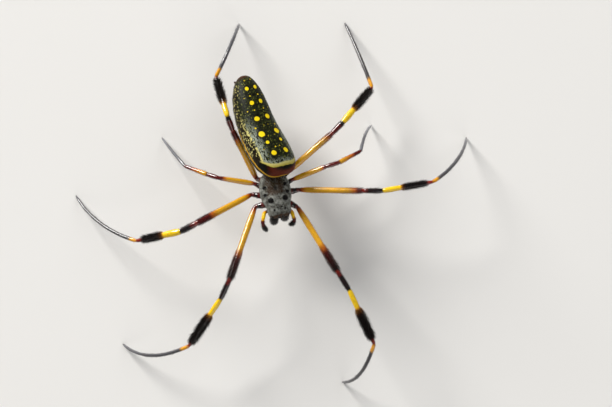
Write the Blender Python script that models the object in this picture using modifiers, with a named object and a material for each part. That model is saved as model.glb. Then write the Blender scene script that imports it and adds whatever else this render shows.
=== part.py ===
"""Golden silk orb weaver, adult female, life size, standing on a flat floor.

Metres, +Z up.  The head points along -Y, the left legs lie towards +X, and the floor is z = 0.
Body parts are modelled in frames of their own: +Y forward, +Z towards the back, +X to the right side.
"""

import math
import random

import bmesh
import bpy
from mathutils import Matrix, Vector

MM = 0.001
GAP = 0.3 * MM        # clearance between two pieces that meet
EYE_GAP = 0.1 * MM    # clearance round an eye, which is itself only half a millimetre across
MERGE = 1.0e-6        # merge distance of turned pieces
ROUND_STEPS = 10      # sides of a leg piece

# Prosoma, the fused head and thorax; its turn is pitch, roll and heading in degrees
PROSOMA_AT = Vector((1.17, 1.69, 10.9)) * MM    # middle of the carapace's flat underside
PROSOMA_TURN = (0.0, -6.0, 192.0)
CARAPACE_FRONT = 4.85
CARAPACE_REAR = -4.75
# Half width and height of the carapace, in mm, at places measured forward from its middle
CARAPACE_WIDTHS = ((-4.75, 1.7), (-4.0, 2.5), (-2.6, 3.1), (-0.6, 3.35), (1.0, 3.15), (2.4, 2.62),
                   (3.6, 2.5), (4.4, 2.3), (4.85, 1.95))
CARAPACE_HEIGHTS = ((-4.75, 0.5), (-3.6, 1.2), (-2.2, 1.95), (-0.6, 2.1), (0.6, 2.6), (1.6, 2.95),
                    (3.2, 2.85), (4.3, 2.35), (4.85, 1.7))
FOVEA_DEPTH = 0.3               # the pit in the middle of the thorax, in mm
HORN_AT = (1.5, 1.1)            # right-hand horn on the carapace: sideways and forward, in mm
HORN_RADIUS = 0.45 * MM
HORN_HEIGHT = 0.42 * MM
STERNUM_WIDTHS = ((-4.4, 0.3), (-3.7, 0.62), (-3.05, 0.95), (-1.65, 1.55), (0.0, 1.7), (1.75, 1.4),
                  (2.95, 0.75))
STERNUM_THICKNESS = 1.6 * MM

# Eyes: sideways place, height, and radius, in mm; each sits in a socket in the face
EYES = {"ame": (0.36, 1.2, 0.27), "pme": (0.42, 1.95, 0.26),
        "ale": (1.66, 0.85, 0.24), "ple": (1.9, 1.4, 0.24)}
EYE_SUNK = 0.35                 # share of its radius that an eye's middle lies below the skin

# Mouthparts, in the prosoma's frame
CHELICERA_BASE = Vector((1.12, 4.1, -0.45)) * MM
CHELICERA_TIPS = {"r": Vector((1.4, 5.95, -3.7)) * MM, "l": Vector((-1.1, 5.55, -4.0)) * MM}
CHELICERA_RADIUS = 0.94 * MM
FANG_LENGTH = 1.6 * MM
FANG_RADIUS = 0.3 * MM
PALP_RADIUS = 0.42 * MM
PALP_STEPS = 13
PALP_ROUTES = {
    "r": ((1.75, 3.15, -1.35), (2.6, 3.25, -0.75), (3.25, 3.45, 0.1), (3.65, 4.2, 0.5), (4.0, 5.1, 0.5),
          (4.05, 5.9, 0.1), (3.8, 6.7, -0.7), (3.3, 7.35, -1.5)),
    "l": ((-1.75, 3.3, -1.35), (-2.25, 3.75, -0.9), (-2.6, 4.3, -0.65), (-2.75, 5.0, -0.65),
          (-2.85, 5.7, -0.8), (-2.85, 6.35, -1.2), (-2.35, 6.9, -1.75), (-1.65, 7.0, -2.2)),
}

# Places and thickness of a palp along its length, as shares
PALP_SWELL = ((0.0, 0.72), (0.2, 0.78), (0.4, 1.0), (0.5, 1.0), (0.62, 0.92), (0.82, 1.2), (0.95, 0.8),
              (1.0, 0.35))

# Abdomen: its front end is raised and its back is turned towards the left legs
ABDOMEN_FRONT = Vector((2.69, 5.74, 16.0)) * MM
ABDOMEN_TURN = (15.0, -23.0, 202.5)
ABDOMEN_LENGTH = 24.0 * MM
# Half width in mm at shares of the length from the front, before its ends are rounded off
ABDOMEN_WIDTHS = ((0.0, 4.6), (0.17, 4.7), (0.34, 4.5), (0.5, 4.12), (0.66, 3.95), (0.83, 3.77), (1.0, 3.3))
ABDOMEN_DEPTH = 0.95            # height as a share of the width
FRONT_BLUNTNESS = 4.0           # how square the front end is in plan and on the back
BELLY_BLUNTNESS = 2.0           # how square it is below, where it recedes over the waist
REAR_BLUNTNESS = 2.6
ABDOMEN_BOW = Vector((0.85, 0.0, -0.8)) * MM    # how far the middle bows to the right side and down
SPINNERET_SHARE = 0.93          # how far back the spinnerets sit
SPINNERET_HUB = ((0.0, 0.0), (0.95, 0.1), (0.95, 0.45), (0.6, 0.7), (0.0, 0.75))    # radius, height
# Each pair of cones: place along and out from the middle, length, radius, in mm
SPINNERET_CONES = ((0.5, 0.42, 1.5, 0.34), (0.0, 0.3, 1.0, 0.22), (-0.48, 0.42, 1.45, 0.3))
CONE_PROFILE = ((0.0, 0.0), (1.0, 0.0), (0.9, 0.6), (0.4, 0.95), (0.0, 1.0))    # shares of radius, length
SPINNERET_LEAN = 32.0           # degrees of lean for each millimetre along
SPINNERET_SPREAD = 12.0
PEDICEL_ROOT = (0.0, -5.05, -1.15)    # rear of the sternum, in the prosoma's frame, in mm
PEDICEL_SHARE = 0.16           # how far back along the belly the waist meets the abdomen
PEDICEL_RADIUS = 0.42

# Legs: lengths in mm of femur, patella, tibia, foot (metatarsus with tarsus), and coxa with trochanter
LEG_LENGTHS = {
    "1": (17.3, 4.6, 13.0, 19.0, 3.1),
    "2": (14.6, 4.0, 10.9, 20.2, 3.2),
    "3": (8.0, 2.8, 6.0, 11.5, 2.6),
    "4": (12.4, 3.4, 10.2, 18.0, 2.8),
}
# Where the coxae meet the sternum: forward and sideways of the carapace's middle, in mm
COXA_ROOTS = {"1": (1.75, 1.75), "2": (0.0, 2.05), "3": (-1.65, 1.9), "4": (-3.15, 1.37)}
COXA_DEPTH = 1.15 * MM

# Pose in degrees.  Each piece has a yaw from +X and a lift above the horizontal.  The foot turns from
# its first yaw to its second, starts at the given lift, and then drops until its tip meets the floor.
POSE = {
    "r1": dict(coxa=(-170, -6), femur=(-109, 16), patella=(-115, -13), tibia=(-124, -15),
               foot=(-156, -223), swing=1.6, lift=-23),
    "l1": dict(coxa=(-27, -2), femur=(-58, 20), patella=(-58, 3), tibia=(-65, -7),
               foot=(-108, -182), swing=2.0, lift=-27),
    "r2": dict(coxa=(172, -8), femur=(208, 24), patella=(207, -22), tibia=(192, -22),
               foot=(164, 122), swing=1.1, lift=-23),
    "l2": dict(coxa=(11, -1), femur=(-1, 16), patella=(0, 7), tibia=(10, 3),
               foot=(31, 78), swing=1.0, lift=-24),
    "r3": dict(coxa=(154, -9), femur=(171, 14), patella=(163, -26), tibia=(160, -26),
               foot=(132, 128), swing=1.1, lift=-32),
    "l3": dict(coxa=(29, -2), femur=(21, 14), patella=(17, 3), tibia=(28, -24),
               foot=(79, 41), swing=1.4, lift=-32),
    "r4": dict(coxa=(165, -40), femur=(116, 20), patella=(110, 25), tibia=(107, -26),
               foot=(62, 77), swing=1.0, lift=12),
    "l4": dict(coxa=(37, -4), femur=(41, 5), patella=(46, -5), tibia=(50, -12),
               foot=(110, 114), swing=1.1, lift=-20),
}

# Leg thickness as radii in mm, and how much slimmer or stouter each pair is
COXA_RADII = (0.55, 0.72, 0.6)
FEMUR_RADII = (0.5, 0.7, 0.64, 0.53)
PATELLA_RADII = (0.5, 0.58, 0.48)
TIBIA_RADII = (0.48, 0.55, 0.52, 0.4)
FOOT_RADII = ((0.0, 0.36), (0.5, 0.32), (0.84, 0.27), (1.0, 0.22))
PAIR_THICKNESS = {"1": 1.0, "2": 0.97, "3": 0.86, "4": 1.0}

# Brushes: the share of the tibia that carries long hair, how far in mm the hair reaches from the axis,
# and the share of that reach that is a dense core
BRUSH_SPAN = (0.36, 0.96)
BRUSH_REACH = {"1": 1.35, "2": 1.12, "4": 1.2}
BRUSH_CORE = 0.62
FEMUR_BRUSH_REACH = 1.05
# Tapered locks in rings: places along the piece, as shares of its length
TIBIA_RINGS = {"1": (0.34, 0.48, 0.62, 0.76), "2": (0.32, 0.5, 0.68), "4": (0.31, 0.49, 0.67)}
FEMUR_RINGS = (0.68, 0.79)
LOCKS_ROUND = 5
LOCK_LENGTH = 2.5
LOCK_WIDTH = 0.95
LOCK_THICKNESS = 0.4
LOCK_ROOT = 0.3                 # how far from the axis a lock is rooted, in mm
LOCK_SEED = 4

FOOT_STEPS = 12
TIP_SUNK = 0.12 * MM            # how far a tip would pass the floor; the part below it is cut off flat

COLOURS = {
    "carapace": ((0.34, 0.33, 0.29), 0.8),
    "sternum": ((0.06, 0.035, 0.02), 0.5),
    "mouthparts": ((0.03, 0.01, 0.01), 0.35),
    "abdomen": ((0.07, 0.07, 0.02), 0.45),
    "spinnerets": ((0.16, 0.05, 0.02), 0.5),
    "eye": ((0.01, 0.01, 0.012), 0.1),
    "coxa": ((0.09, 0.015, 0.01), 0.4),
    "leg_yellow": ((0.62, 0.28, 0.02), 0.4),
    "leg_dark": ((0.06, 0.012, 0.008), 0.45),
    "foot": ((0.05, 0.05, 0.055), 0.5),
}


def clear_scene():
    for item in list(bpy.data.objects):
        bpy.data.objects.remove(item, do_unlink=True)


def make_collection(name):
    made = bpy.data.collections.new(name)
    bpy.context.scene.collection.children.link(made)
    return made


def make_material(name):
    colour, roughness = COLOURS[name]
    made = bpy.data.materials.new(name)
    made.use_nodes = True
    shader = made.node_tree.nodes["Principled BSDF"]
    shader.inputs["Base Color"].default_value = (*colour, 1.0)
    shader.inputs["Roughness"].default_value = roughness
    shader.inputs["Metallic"].default_value = 0.0
    return made


# Small shape tools

def heading(yaw, lift):
    """Unit vector at a yaw from +X and a lift above the horizontal, in degrees."""
    flat = math.cos(math.radians(lift))
    return Vector((flat * math.cos(math.radians(yaw)), flat * math.sin(math.radians(yaw)),
                   math.sin(math.radians(lift))))


def through(value, stops):
    """Height at a place of the smooth curve through (place, height) stops."""
    value = min(max(value, stops[0][0]), stops[-1][0])
    span = next(k for k in range(len(stops) - 1) if value <= stops[k + 1][0])
    (a, low), (b, high) = stops[span], stops[span + 1]
    before = stops[max(span - 1, 0)]
    after = stops[min(span + 2, len(stops) - 1)]
    slope_in = (high - before[1]) / (b - before[0])
    slope_out = (after[1] - low) / (after[0] - a)
    part = (value - a) / (b - a)
    width = b - a
    rise = 3 * part ** 2 - 2 * part ** 3
    lead_in = width * slope_in * (part ** 3 - 2 * part ** 2 + part)
    lead_out = width * slope_out * (part ** 3 - part ** 2)
    return low * (1 - rise) + high * rise + lead_in + lead_out


def add_object(name, data, material, parent=None):
    made = bpy.data.objects.new(name, data)
    data.materials.clear()
    data.materials.append(materials[material])
    spider.objects.link(made)
    made.parent = parent
    return made


def smooth_mesh(bm, name):
    bmesh.ops.recalc_face_normals(bm, faces=bm.faces)
    mesh = bpy.data.meshes.new(name)
    bm.to_mesh(mesh)
    bm.free()
    mesh.shade_smooth()
    mesh.set_sharp_from_angle(angle=math.radians(50))
    return mesh


def loft(name, rings):
    """A closed skin over rings of equal counts; each end ring is drawn in to its middle."""
    bm = bmesh.new()
    loops = [[bm.verts.new(point) for point in ring] for ring in rings]
    count = len(rings[0])
    for lower, upper in zip(loops, loops[1:]):
        for k in range(count):
            bm.faces.new((lower[k], lower[(k + 1) % count], upper[(k + 1) % count], upper[k]))
    for loop in (loops[0], loops[-1]):
        middle = bm.verts.new(sum((vert.co for vert in loop), Vector()) / count)
        for k in range(count):
            bm.faces.new((loop[k], loop[(k + 1) % count], middle))
    return smooth_mesh(bm, name)


def turned(name, profile, material, steps=ROUND_STEPS, parent=None):
    """A turned piece from (radius, height) pairs that run up from the middle of its base."""
    mesh = bpy.data.meshes.new(name)
    points = [(radius, 0.0, height) for radius, height in reversed(profile)]
    mesh.from_pydata(points, [(k, k + 1) for k in range(len(points) - 1)], [])
    made = add_object(name, mesh, material, parent)
    screw = made.modifiers.new("Turn", "SCREW")
    screw.angle = 2 * math.pi
    screw.steps = steps
    screw.render_steps = steps
    screw.use_merge_vertices = True
    screw.merge_threshold = MERGE
    screw.use_smooth_shade = True
    return made


def aim(made, base, tip):
    """Stand a piece whose axis is its own +Z on base, pointing at tip."""
    made.location = base
    made.rotation_mode = "QUATERNION"
    made.rotation_quaternion = (tip - base).to_track_quat("Z", "Y")


def limb_profile(length, stops, bluntness=0.8):
    """Profile of a limb piece with a dome at each end; stops are (place along it, radius)."""
    first, last = stops[0][1], stops[-1][1]
    angles = [math.radians(angle) for angle in (0, 35, 65, 90)]
    start = [(first * math.sin(a), bluntness * first * (1 - math.cos(a))) for a in angles]
    end = [(last * math.sin(a), length - bluntness * last * (1 - math.cos(a))) for a in reversed(angles)]
    return start + [(radius, place) for place, radius in stops[1:-1]] + end


def pull_back(radius, before, after):
    """How far a piece with domed ends stops short of a joint that bends, to keep the gap there."""
    half_bend = before.angle(after) / 2
    return (radius + GAP / 2) / math.cos(half_bend) - radius


def evaluated_mesh(made):
    graph = bpy.context.evaluated_depsgraph_get()
    return bpy.data.meshes.new_from_object(made.evaluated_get(graph), depsgraph=graph)


def tube_mesh(name, points, radii, resolution=2, cut_floor=False):
    """A closed tube through points, with a radius at each of them."""
    curve = bpy.data.curves.new(name, "CURVE")
    curve.dimensions = "3D"
    curve.bevel_depth = MM
    curve.bevel_resolution = resolution
    curve.use_fill_caps = True
    spline = curve.splines.new("POLY")
    spline.points.add(len(points) - 1)
    for point, place, radius in zip(spline.points, points, radii):
        point.co = (*place, 1.0)
        point.radius = radius / MM
    guide = bpy.data.objects.new(name + "_route", curve)
    spider.objects.link(guide)
    mesh = evaluated_mesh(guide)
    bpy.data.objects.remove(guide, do_unlink=True)
    bm = bmesh.new()
    bm.from_mesh(mesh)
    bmesh.ops.remove_doubles(bm, verts=bm.verts, dist=MERGE)
    if cut_floor:
        bmesh.ops.bisect_plane(bm, geom=[*bm.verts, *bm.edges, *bm.faces], dist=1.0e-7, plane_co=(0, 0, 0),
                               plane_no=(0, 0, -1), clear_outer=True)
        bmesh.ops.holes_fill(bm, edges=[edge for edge in bm.edges if edge.is_boundary])
    return smooth_mesh(bm, name)


def smooth_route(points, steps):
    """Points along the smooth curve through a few route points."""
    stops = [[(k, point[axis]) for k, point in enumerate(points)] for axis in range(3)]
    last = len(points) - 1
    return [Vector([through(last * k / steps, stops[axis]) for axis in range(3)]) for k in range(steps + 1)]


def keep_largest(bm):
    """Delete all but the largest closed surface."""
    left = set(bm.verts)
    shells = []
    while left:
        shell = set()
        open_ends = [left.pop()]
        while open_ends:
            vert = open_ends.pop()
            shell.add(vert)
            for edge in vert.link_edges:
                other = edge.other_vert(vert)
                if other in left:
                    left.discard(other)
                    open_ends.append(other)
        shells.append(shell)
    shells.sort(key=len, reverse=True)
    bmesh.ops.delete(bm, geom=[vert for shell in shells[1:] for vert in shell], context="VERTS")


def combine(made, pieces, operation, solver="EXACT"):
    """Fuse closed mesh pieces onto a node or cut them out of it, and keep its largest surface."""
    group = bpy.data.collections.new(made.name + "_pieces")
    bpy.context.scene.collection.children.link(group)
    for piece in pieces:
        for holder in list(piece.users_collection):
            holder.objects.unlink(piece)
        group.objects.link(piece)
    step = made.modifiers.new("Combine", "BOOLEAN")
    step.operation = operation
    step.operand_type = "COLLECTION"
    step.collection = group
    step.solver = solver
    mesh = evaluated_mesh(made)
    made.modifiers.clear()
    for piece in pieces:
        bpy.data.objects.remove(piece, do_unlink=True)
    bpy.data.collections.remove(group)
    bm = bmesh.new()
    bm.from_mesh(mesh)
    bmesh.ops.remove_doubles(bm, verts=bm.verts, dist=MERGE)
    keep_largest(bm)
    bmesh.ops.triangulate(bm, faces=[face for face in bm.faces if len(face.verts) > 4])
    material = made.data.materials[0]
    made.data = smooth_mesh(bm, made.name)
    made.data.materials.append(material)


# Body frames

def frame_empty(name, place, turn):
    empty = bpy.data.objects.new(name, None)
    spider.objects.link(empty)
    empty.rotation_mode = "YXZ"
    empty.rotation_euler = [math.radians(angle) for angle in turn]
    empty.location = place
    return empty


def frame_matrix(place, turn):
    pitch, roll, yaw = [math.radians(angle) for angle in turn]
    turned_by = Matrix.Rotation(yaw, 4, "Z") @ Matrix.Rotation(pitch, 4, "X") @ Matrix.Rotation(roll, 4, "Y")
    return Matrix.Translation(place) @ turned_by


# Prosoma

def carapace_top(x, y):
    """Height of the carapace above its flat underside at a point of its plan, all in mm."""
    share = min(1.0, abs(x) / through(y, CARAPACE_WIDTHS))
    dome = through(y, CARAPACE_HEIGHTS) * (1 - share ** 2.3) ** (1 / 2.3)
    pit = FOVEA_DEPTH * math.exp(-((x / 0.9) ** 2) - ((y + 1.3) / 0.7) ** 2)
    return 0.15 + dome - pit


def make_carapace(parent):
    middle = (CARAPACE_FRONT + CARAPACE_REAR) / 2
    half = (CARAPACE_FRONT - CARAPACE_REAR) / 2
    stations = 17
    across = 12
    rings = []
    for step in range(stations + 1):
        y = middle - half * math.cos(math.pi * (0.5 + 0.985 * (step / stations - 0.5)))
        width = through(y, CARAPACE_WIDTHS)
        ring = []
        for k in range(across + 1):
            x = width * math.cos(math.pi * k / across)
            ring.append(Vector((x, y, carapace_top(x, y))) * MM)
        ring += [Vector((width * side, y, 0.0)) * MM for side in (-0.94, -0.35, 0.35, 0.94)]
        rings.append(ring)
    shell = add_object("carapace", loft("carapace", rings), "carapace", parent)
    horns = [make_horn(side) for side in (1, -1)]
    combine(shell, horns, "UNION")
    return shell


def make_horn(side):
    x, y = HORN_AT
    base = carapace_top(x, y) * MM
    sunk = -0.4 * MM
    profile = [(0.0, sunk), (HORN_RADIUS, sunk), (HORN_RADIUS, 0.25 * sunk),
               (0.8 * HORN_RADIUS, 0.45 * HORN_HEIGHT), (0.45 * HORN_RADIUS, 0.9 * HORN_HEIGHT),
               (0.0, HORN_HEIGHT)]
    horn = turned(f"horn_{side}", profile, "carapace", 8)
    horn.data = evaluated_mesh(horn)
    horn.modifiers.clear()
    horn.matrix_world = prosoma_matrix @ Matrix.Translation((side * x * MM, y * MM, base))
    return horn


def face_point(shell, x, z):
    """Where the face meets a line along the head at a sideways place and height, in mm, and its normal."""
    start = Vector((x, CARAPACE_FRONT + 3.0, z)) * MM
    hit, place, normal, _ = shell.ray_cast(start, Vector((0, -1, 0)))
    if not hit:
        raise RuntimeError("an eye lies off the face")
    return place, normal


def make_eyes(shell, parent):
    """Eight eyes, each a ball seated in a socket cut into the face."""
    sockets = []
    for kind, (x, z, radius) in EYES.items():
        for side, letter in ((1, "r"), (-1, "l")):
            place, normal = face_point(shell, side * x, z)
            centre = place - normal * EYE_SUNK * radius * MM
            eye = make_ball(f"eye_{kind}_{letter}", radius * MM)
            eye.parent = parent
            eye.location = centre
            socket = make_ball(f"socket_{kind}_{letter}", radius * MM + EYE_GAP)
            socket.matrix_world = prosoma_matrix @ Matrix.Translation(centre)
            sockets.append(socket)
    combine(shell, sockets, "DIFFERENCE")


def make_ball(name, radius):
    bm = bmesh.new()
    bmesh.ops.create_uvsphere(bm, u_segments=8, v_segments=6, radius=radius)
    return add_object(name, smooth_mesh(bm, name), "eye")


def make_sternum(parent):
    """The plate between the coxae, with the lip at its front, as a flat outline with rounded edges."""
    rear, front = STERNUM_WIDTHS[0][0], STERNUM_WIDTHS[-1][0]
    steps = 12
    places = [rear + (front - rear) * k / steps for k in range(steps + 1)]
    outline = [(through(y, STERNUM_WIDTHS), y) for y in places]
    outline += [(-x, y) for x, y in reversed(outline)]
    curve = bpy.data.curves.new("sternum", "CURVE")
    curve.dimensions = "2D"
    curve.fill_mode = "BOTH"
    curve.extrude = STERNUM_THICKNESS / 2
    spline = curve.splines.new("POLY")
    spline.points.add(len(outline) - 1)
    for point, (x, y) in zip(spline.points, outline):
        point.co = (x * MM, y * MM, 0.0, 1.0)
    spline.use_cyclic_u = True
    guide = bpy.data.objects.new("sternum_outline", curve)
    spider.objects.link(guide)
    mesh = evaluated_mesh(guide)
    bpy.data.objects.remove(guide, do_unlink=True)
    bm = bmesh.new()
    bm.from_mesh(mesh)
    bmesh.ops.remove_doubles(bm, verts=bm.verts, dist=MERGE)
    plate = add_object("sternum", smooth_mesh(bm, "sternum"), "sternum", parent)
    plate.location = (0.0, 0.0, -GAP - STERNUM_THICKNESS / 2)


def make_mouthparts(parent):
    for side, letter in ((1, "r"), (-1, "l")):
        base, tip = CHELICERA_BASE * Vector((side, 1, 1)), CHELICERA_TIPS[letter]
        length = (tip - base).length
        wide = CHELICERA_RADIUS / MM
        stops = ((0.0, 0.78 * wide * MM), (0.3 * length, wide * MM), (0.65 * length, 0.82 * wide * MM),
                 (length, 0.5 * wide * MM))
        chelicera = turned(f"chelicera_{letter}", limb_profile(length, stops), "mouthparts", 12, parent)
        aim(chelicera, base, tip)
        make_fang(f"fang_{letter}", tip, (tip - base).normalized(), side, parent)
    for letter, route in PALP_ROUTES.items():
        points = [point * MM for point in smooth_route(route, PALP_STEPS)]
        radii = [PALP_RADIUS * through(k / PALP_STEPS, PALP_SWELL) for k in range(PALP_STEPS + 1)]
        add_object(f"palp_{letter}", tube_mesh(f"palp_{letter}", points, radii), "leg_yellow", parent)


def make_fang(name, socket, along, side, parent):
    """A short curved fang that folds inward and back under its chelicera."""
    start = socket + along * GAP
    inward = Vector((-0.25 * side, -0.95, 0.0)).normalized()
    steps = 7
    points = []
    for k in range(steps + 1):
        part = k / steps
        bend = math.radians(75) * part
        points.append(start + FANG_LENGTH * part * (along * math.cos(bend) + inward * math.sin(bend)))
    radii = [FANG_RADIUS * (1 - 0.72 * (k / steps) ** 1.2) for k in range(steps + 1)]
    add_object(name, tube_mesh(name, points, radii), "mouthparts", parent)


# Abdomen

def end_rounding(share, bluntness):
    """How far the abdomen is drawn in at a share of its length, 1 in the middle and 0 at the ends."""
    power = bluntness if share < 0.5 else REAR_BLUNTNESS
    return (1 - abs(2 * share - 1) ** power) ** (1 / power)


def abdomen_point(share, angle):
    """Point of the abdomen's skin: share of its length from the front, angle from its right side up."""
    width = through(share, ABDOMEN_WIDTHS) * MM
    power = 2 / 2.2
    across = math.copysign(abs(math.cos(angle)) ** power, math.cos(angle))
    up = math.copysign(abs(math.sin(angle)) ** power, math.sin(angle))
    height = width * ABDOMEN_DEPTH * end_rounding(share, FRONT_BLUNTNESS if up > 0 else BELLY_BLUNTNESS)
    middle = ABDOMEN_BOW * math.sin(math.pi * share)
    return middle + Vector((width * end_rounding(share, FRONT_BLUNTNESS) * across, -ABDOMEN_LENGTH * share,
                            height * up))


def make_abdomen(parent):
    stations = 24
    around = 24
    rings = []
    for step in range(stations + 1):
        share = 0.5 - 0.5 * math.cos(math.pi * (0.5 + 0.985 * (step / stations - 0.5)))
        rings.append([abdomen_point(share, 2 * math.pi * k / around) for k in range(around)])
    add_object("abdomen", loft("abdomen", rings), "abdomen", parent)


def make_spinnerets(parent):
    """Three pairs of short cones on one base, under the rear end."""
    seat = abdomen_point(SPINNERET_SHARE, -0.5 * math.pi)
    back = Vector((0.0, -0.75, -0.66)).normalized()
    base = seat + back * (GAP + 0.1 * MM)
    profile = [(radius * MM, height * MM) for radius, height in SPINNERET_HUB]
    hub = turned("spinnerets", profile, "spinnerets", 12, parent)
    aim(hub, base, base + back)
    upright = back.to_track_quat("Z", "Y").to_matrix().to_4x4()
    cones = []
    for pair, (along, out, length, radius) in enumerate(SPINNERET_CONES):
        for side in (1, -1):
            profile = [(share * radius * MM, place * length * MM) for share, place in CONE_PROFILE]
            cone = turned(f"cone_{pair}_{side}", profile, "spinnerets", 7)
            cone.data = evaluated_mesh(cone)
            cone.modifiers.clear()
            lean = Matrix.Rotation(math.radians(-SPINNERET_LEAN * along), 4, "X")
            spread = Matrix.Rotation(math.radians(SPINNERET_SPREAD * side), 4, "Y")
            seat_at = Matrix.Translation((side * out * MM, along * MM, 0.25 * MM))
            cone.matrix_world = (abdomen_matrix @ Matrix.Translation(base) @ upright @ seat_at @ lean
                                 @ spread)
            cones.append(cone)
    combine(hub, cones, "UNION")


def make_pedicel():
    """The narrow waist between the prosoma and the lower front of the abdomen."""
    start = prosoma_matrix @ (Vector(PEDICEL_ROOT) * MM)
    skin = abdomen_matrix @ abdomen_point(PEDICEL_SHARE, -0.5 * math.pi)
    stop = skin + (start - skin).normalized() * 1.6 * GAP
    length = (stop - start).length
    radius = PEDICEL_RADIUS * MM
    stops = ((0.0, radius), (0.5 * length, 1.1 * radius), (length, radius))
    aim(turned("pedicel", limb_profile(length, stops), "coxa"), start, stop)


# Legs

def leg_joints(key):
    """Places of a leg's joints, from its root at the sternum to its ankle."""
    pair, pose = key[1], POSE[key]
    femur, patella, tibia, _, coxa = LEG_LENGTHS[pair]
    forward, out = COXA_ROOTS[pair]
    side = 1 if key[0] == "r" else -1
    joints = [prosoma_matrix @ Vector((side * out * MM, forward * MM, -COXA_DEPTH))]
    for piece, length in (("coxa", coxa), ("femur", femur), ("patella", patella), ("tibia", tibia)):
        joints.append(joints[-1] + heading(*pose[piece]) * length * MM)
    return joints


def foot_route(start, length, pose, last_lift):
    """Points of a foot whose lift runs evenly from its start to last_lift."""
    first_yaw, last_yaw = pose["foot"]
    points = [start]
    for step in range(FOOT_STEPS):
        part = (step + 0.5) / FOOT_STEPS
        yaw = first_yaw + (last_yaw - first_yaw) * part ** pose["swing"]
        lift = pose["lift"] + (last_lift - pose["lift"]) * part
        points.append(points[-1] + heading(yaw, lift) * length / FOOT_STEPS)
    return points


def landed_foot(start, length, pose):
    """The foot whose tip just passes the floor, found by halving the range of its last lift."""
    low, high = -120.0, 0.0
    for _ in range(40):
        middle = (low + high) / 2
        if foot_route(start, length, pose, middle)[-1].z < -TIP_SUNK:
            low = middle
        else:
            high = middle
    return foot_route(start, length, pose, high)


def limb(name, joints, index, radii, places, material, scale):
    """One straight leg piece between two of the leg's joints, clear of its neighbours at both."""
    start, stop = joints[index], joints[index + 1]
    along = (stop - start).normalized()
    before = start - joints[index - 1] if index else along
    after = joints[index + 2] - stop if index + 2 < len(joints) else along
    base = start + along * pull_back(radii[0] * scale * MM, before, along)
    tip = stop - along * pull_back(radii[-1] * scale * MM, along, after)
    length = (tip - base).length
    stops = [(place * length, radius * scale * MM) for place, radius in zip(places, radii)]
    piece = turned(name, limb_profile(length, stops), material)
    aim(piece, base, tip)
    return piece


def tibia_shape(pair):
    """Places and radii of a tibia: its bare stem, then the dense core of its brush."""
    if pair not in BRUSH_REACH:
        return (0.0, 0.3, 0.75, 1.0), TIBIA_RADII
    first, last = BRUSH_SPAN
    core = BRUSH_CORE * BRUSH_REACH[pair] / PAIR_THICKNESS[pair]
    stem = TIBIA_RADII[1]
    places = (0.0, 0.15, first, first + 0.16, last - 0.12, last - 0.02, 1.0)
    return places, (TIBIA_RADII[0], stem, stem, core, core, 0.85 * core, TIBIA_RADII[3])


def make_lock(name, place, angle, reach, length, width):
    """A flat tapered lock along +Z, rooted inside a leg piece and bent over along its lie."""
    outward = Vector((math.cos(angle), math.sin(angle), 0.0))
    sideways = Vector((-math.sin(angle), math.cos(angle), 0.0))
    rings = []
    for part, share in ((0.0, 0.85), (0.42, 1.0), (0.78, 0.62)):
        rise = LOCK_ROOT + (reach - LOCK_ROOT) * (1.45 * part - 0.45 * part ** 2)
        middle = outward * rise + Vector((0.0, 0.0, place + length * part))
        across = sideways * width * share / 2
        through_it = outward * LOCK_THICKNESS * share / 2
        corners = (across, through_it, -across, -through_it)
        rings.append([(middle + corner) * MM for corner in corners])
    bm = bmesh.new()
    loops = [[bm.verts.new(point) for point in ring] for ring in rings]
    tip = bm.verts.new((outward * reach + Vector((0.0, 0.0, place + length))) * MM)
    bm.faces.new(loops[0])
    for lower, upper in zip(loops, loops[1:]):
        for k in range(4):
            bm.faces.new((lower[k], lower[(k + 1) % 4], upper[(k + 1) % 4], upper[k]))
    for k in range(4):
        bm.faces.new((loops[-1][k], loops[-1][(k + 1) % 4], tip))
    return smooth_mesh(bm, name)


def add_brush(piece, places, reach, length):
    """Fuse rings of locks onto a leg piece; alternate rings are turned by half a step."""
    locks = []
    for ring, place in enumerate(places):
        for k in range(LOCKS_ROUND):
            angle = 2 * math.pi * (k + 0.5 * (ring % 2) + chance.uniform(-0.12, 0.12)) / LOCKS_ROUND
            mesh = make_lock(f"lock_{ring}_{k}", place * length, angle, reach * chance.uniform(0.9, 1.05),
                             LOCK_LENGTH * chance.uniform(0.86, 1.02), LOCK_WIDTH * chance.uniform(0.9, 1.1))
            lock = add_object(mesh.name, mesh, "leg_dark")
            lock.location = piece.location
            lock.rotation_mode = "QUATERNION"
            lock.rotation_quaternion = piece.rotation_quaternion
            locks.append(lock)
    combine(piece, locks, "UNION")


def make_leg(key):
    pair = key[1]
    scale = PAIR_THICKNESS[pair]
    joints = leg_joints(key)
    foot = landed_foot(joints[-1], LEG_LENGTHS[pair][3] * MM, POSE[key])
    bends = joints + [foot[1]]
    limb(f"leg_{key}_coxa", bends, 0, COXA_RADII, (0.0, 0.6, 1.0), "coxa", scale)
    femur = limb(f"leg_{key}_femur", bends, 1, FEMUR_RADII, (0.0, 0.2, 0.65, 1.0), "leg_yellow", scale)
    if pair == "1":
        add_brush(femur, FEMUR_RINGS, FEMUR_BRUSH_REACH, LEG_LENGTHS[pair][0])
    limb(f"leg_{key}_patella", bends, 2, PATELLA_RADII, (0.0, 0.5, 1.0), "leg_dark", scale)
    places, radii = tibia_shape(pair)
    tibia = limb(f"leg_{key}_tibia", bends, 3, radii, places, "leg_yellow", scale)
    if pair in TIBIA_RINGS:
        add_brush(tibia, TIBIA_RINGS[pair], BRUSH_REACH[pair], LEG_LENGTHS[pair][2])
    make_foot(f"leg_{key}_foot", foot, joints[-1] - joints[-2], scale)


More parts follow.
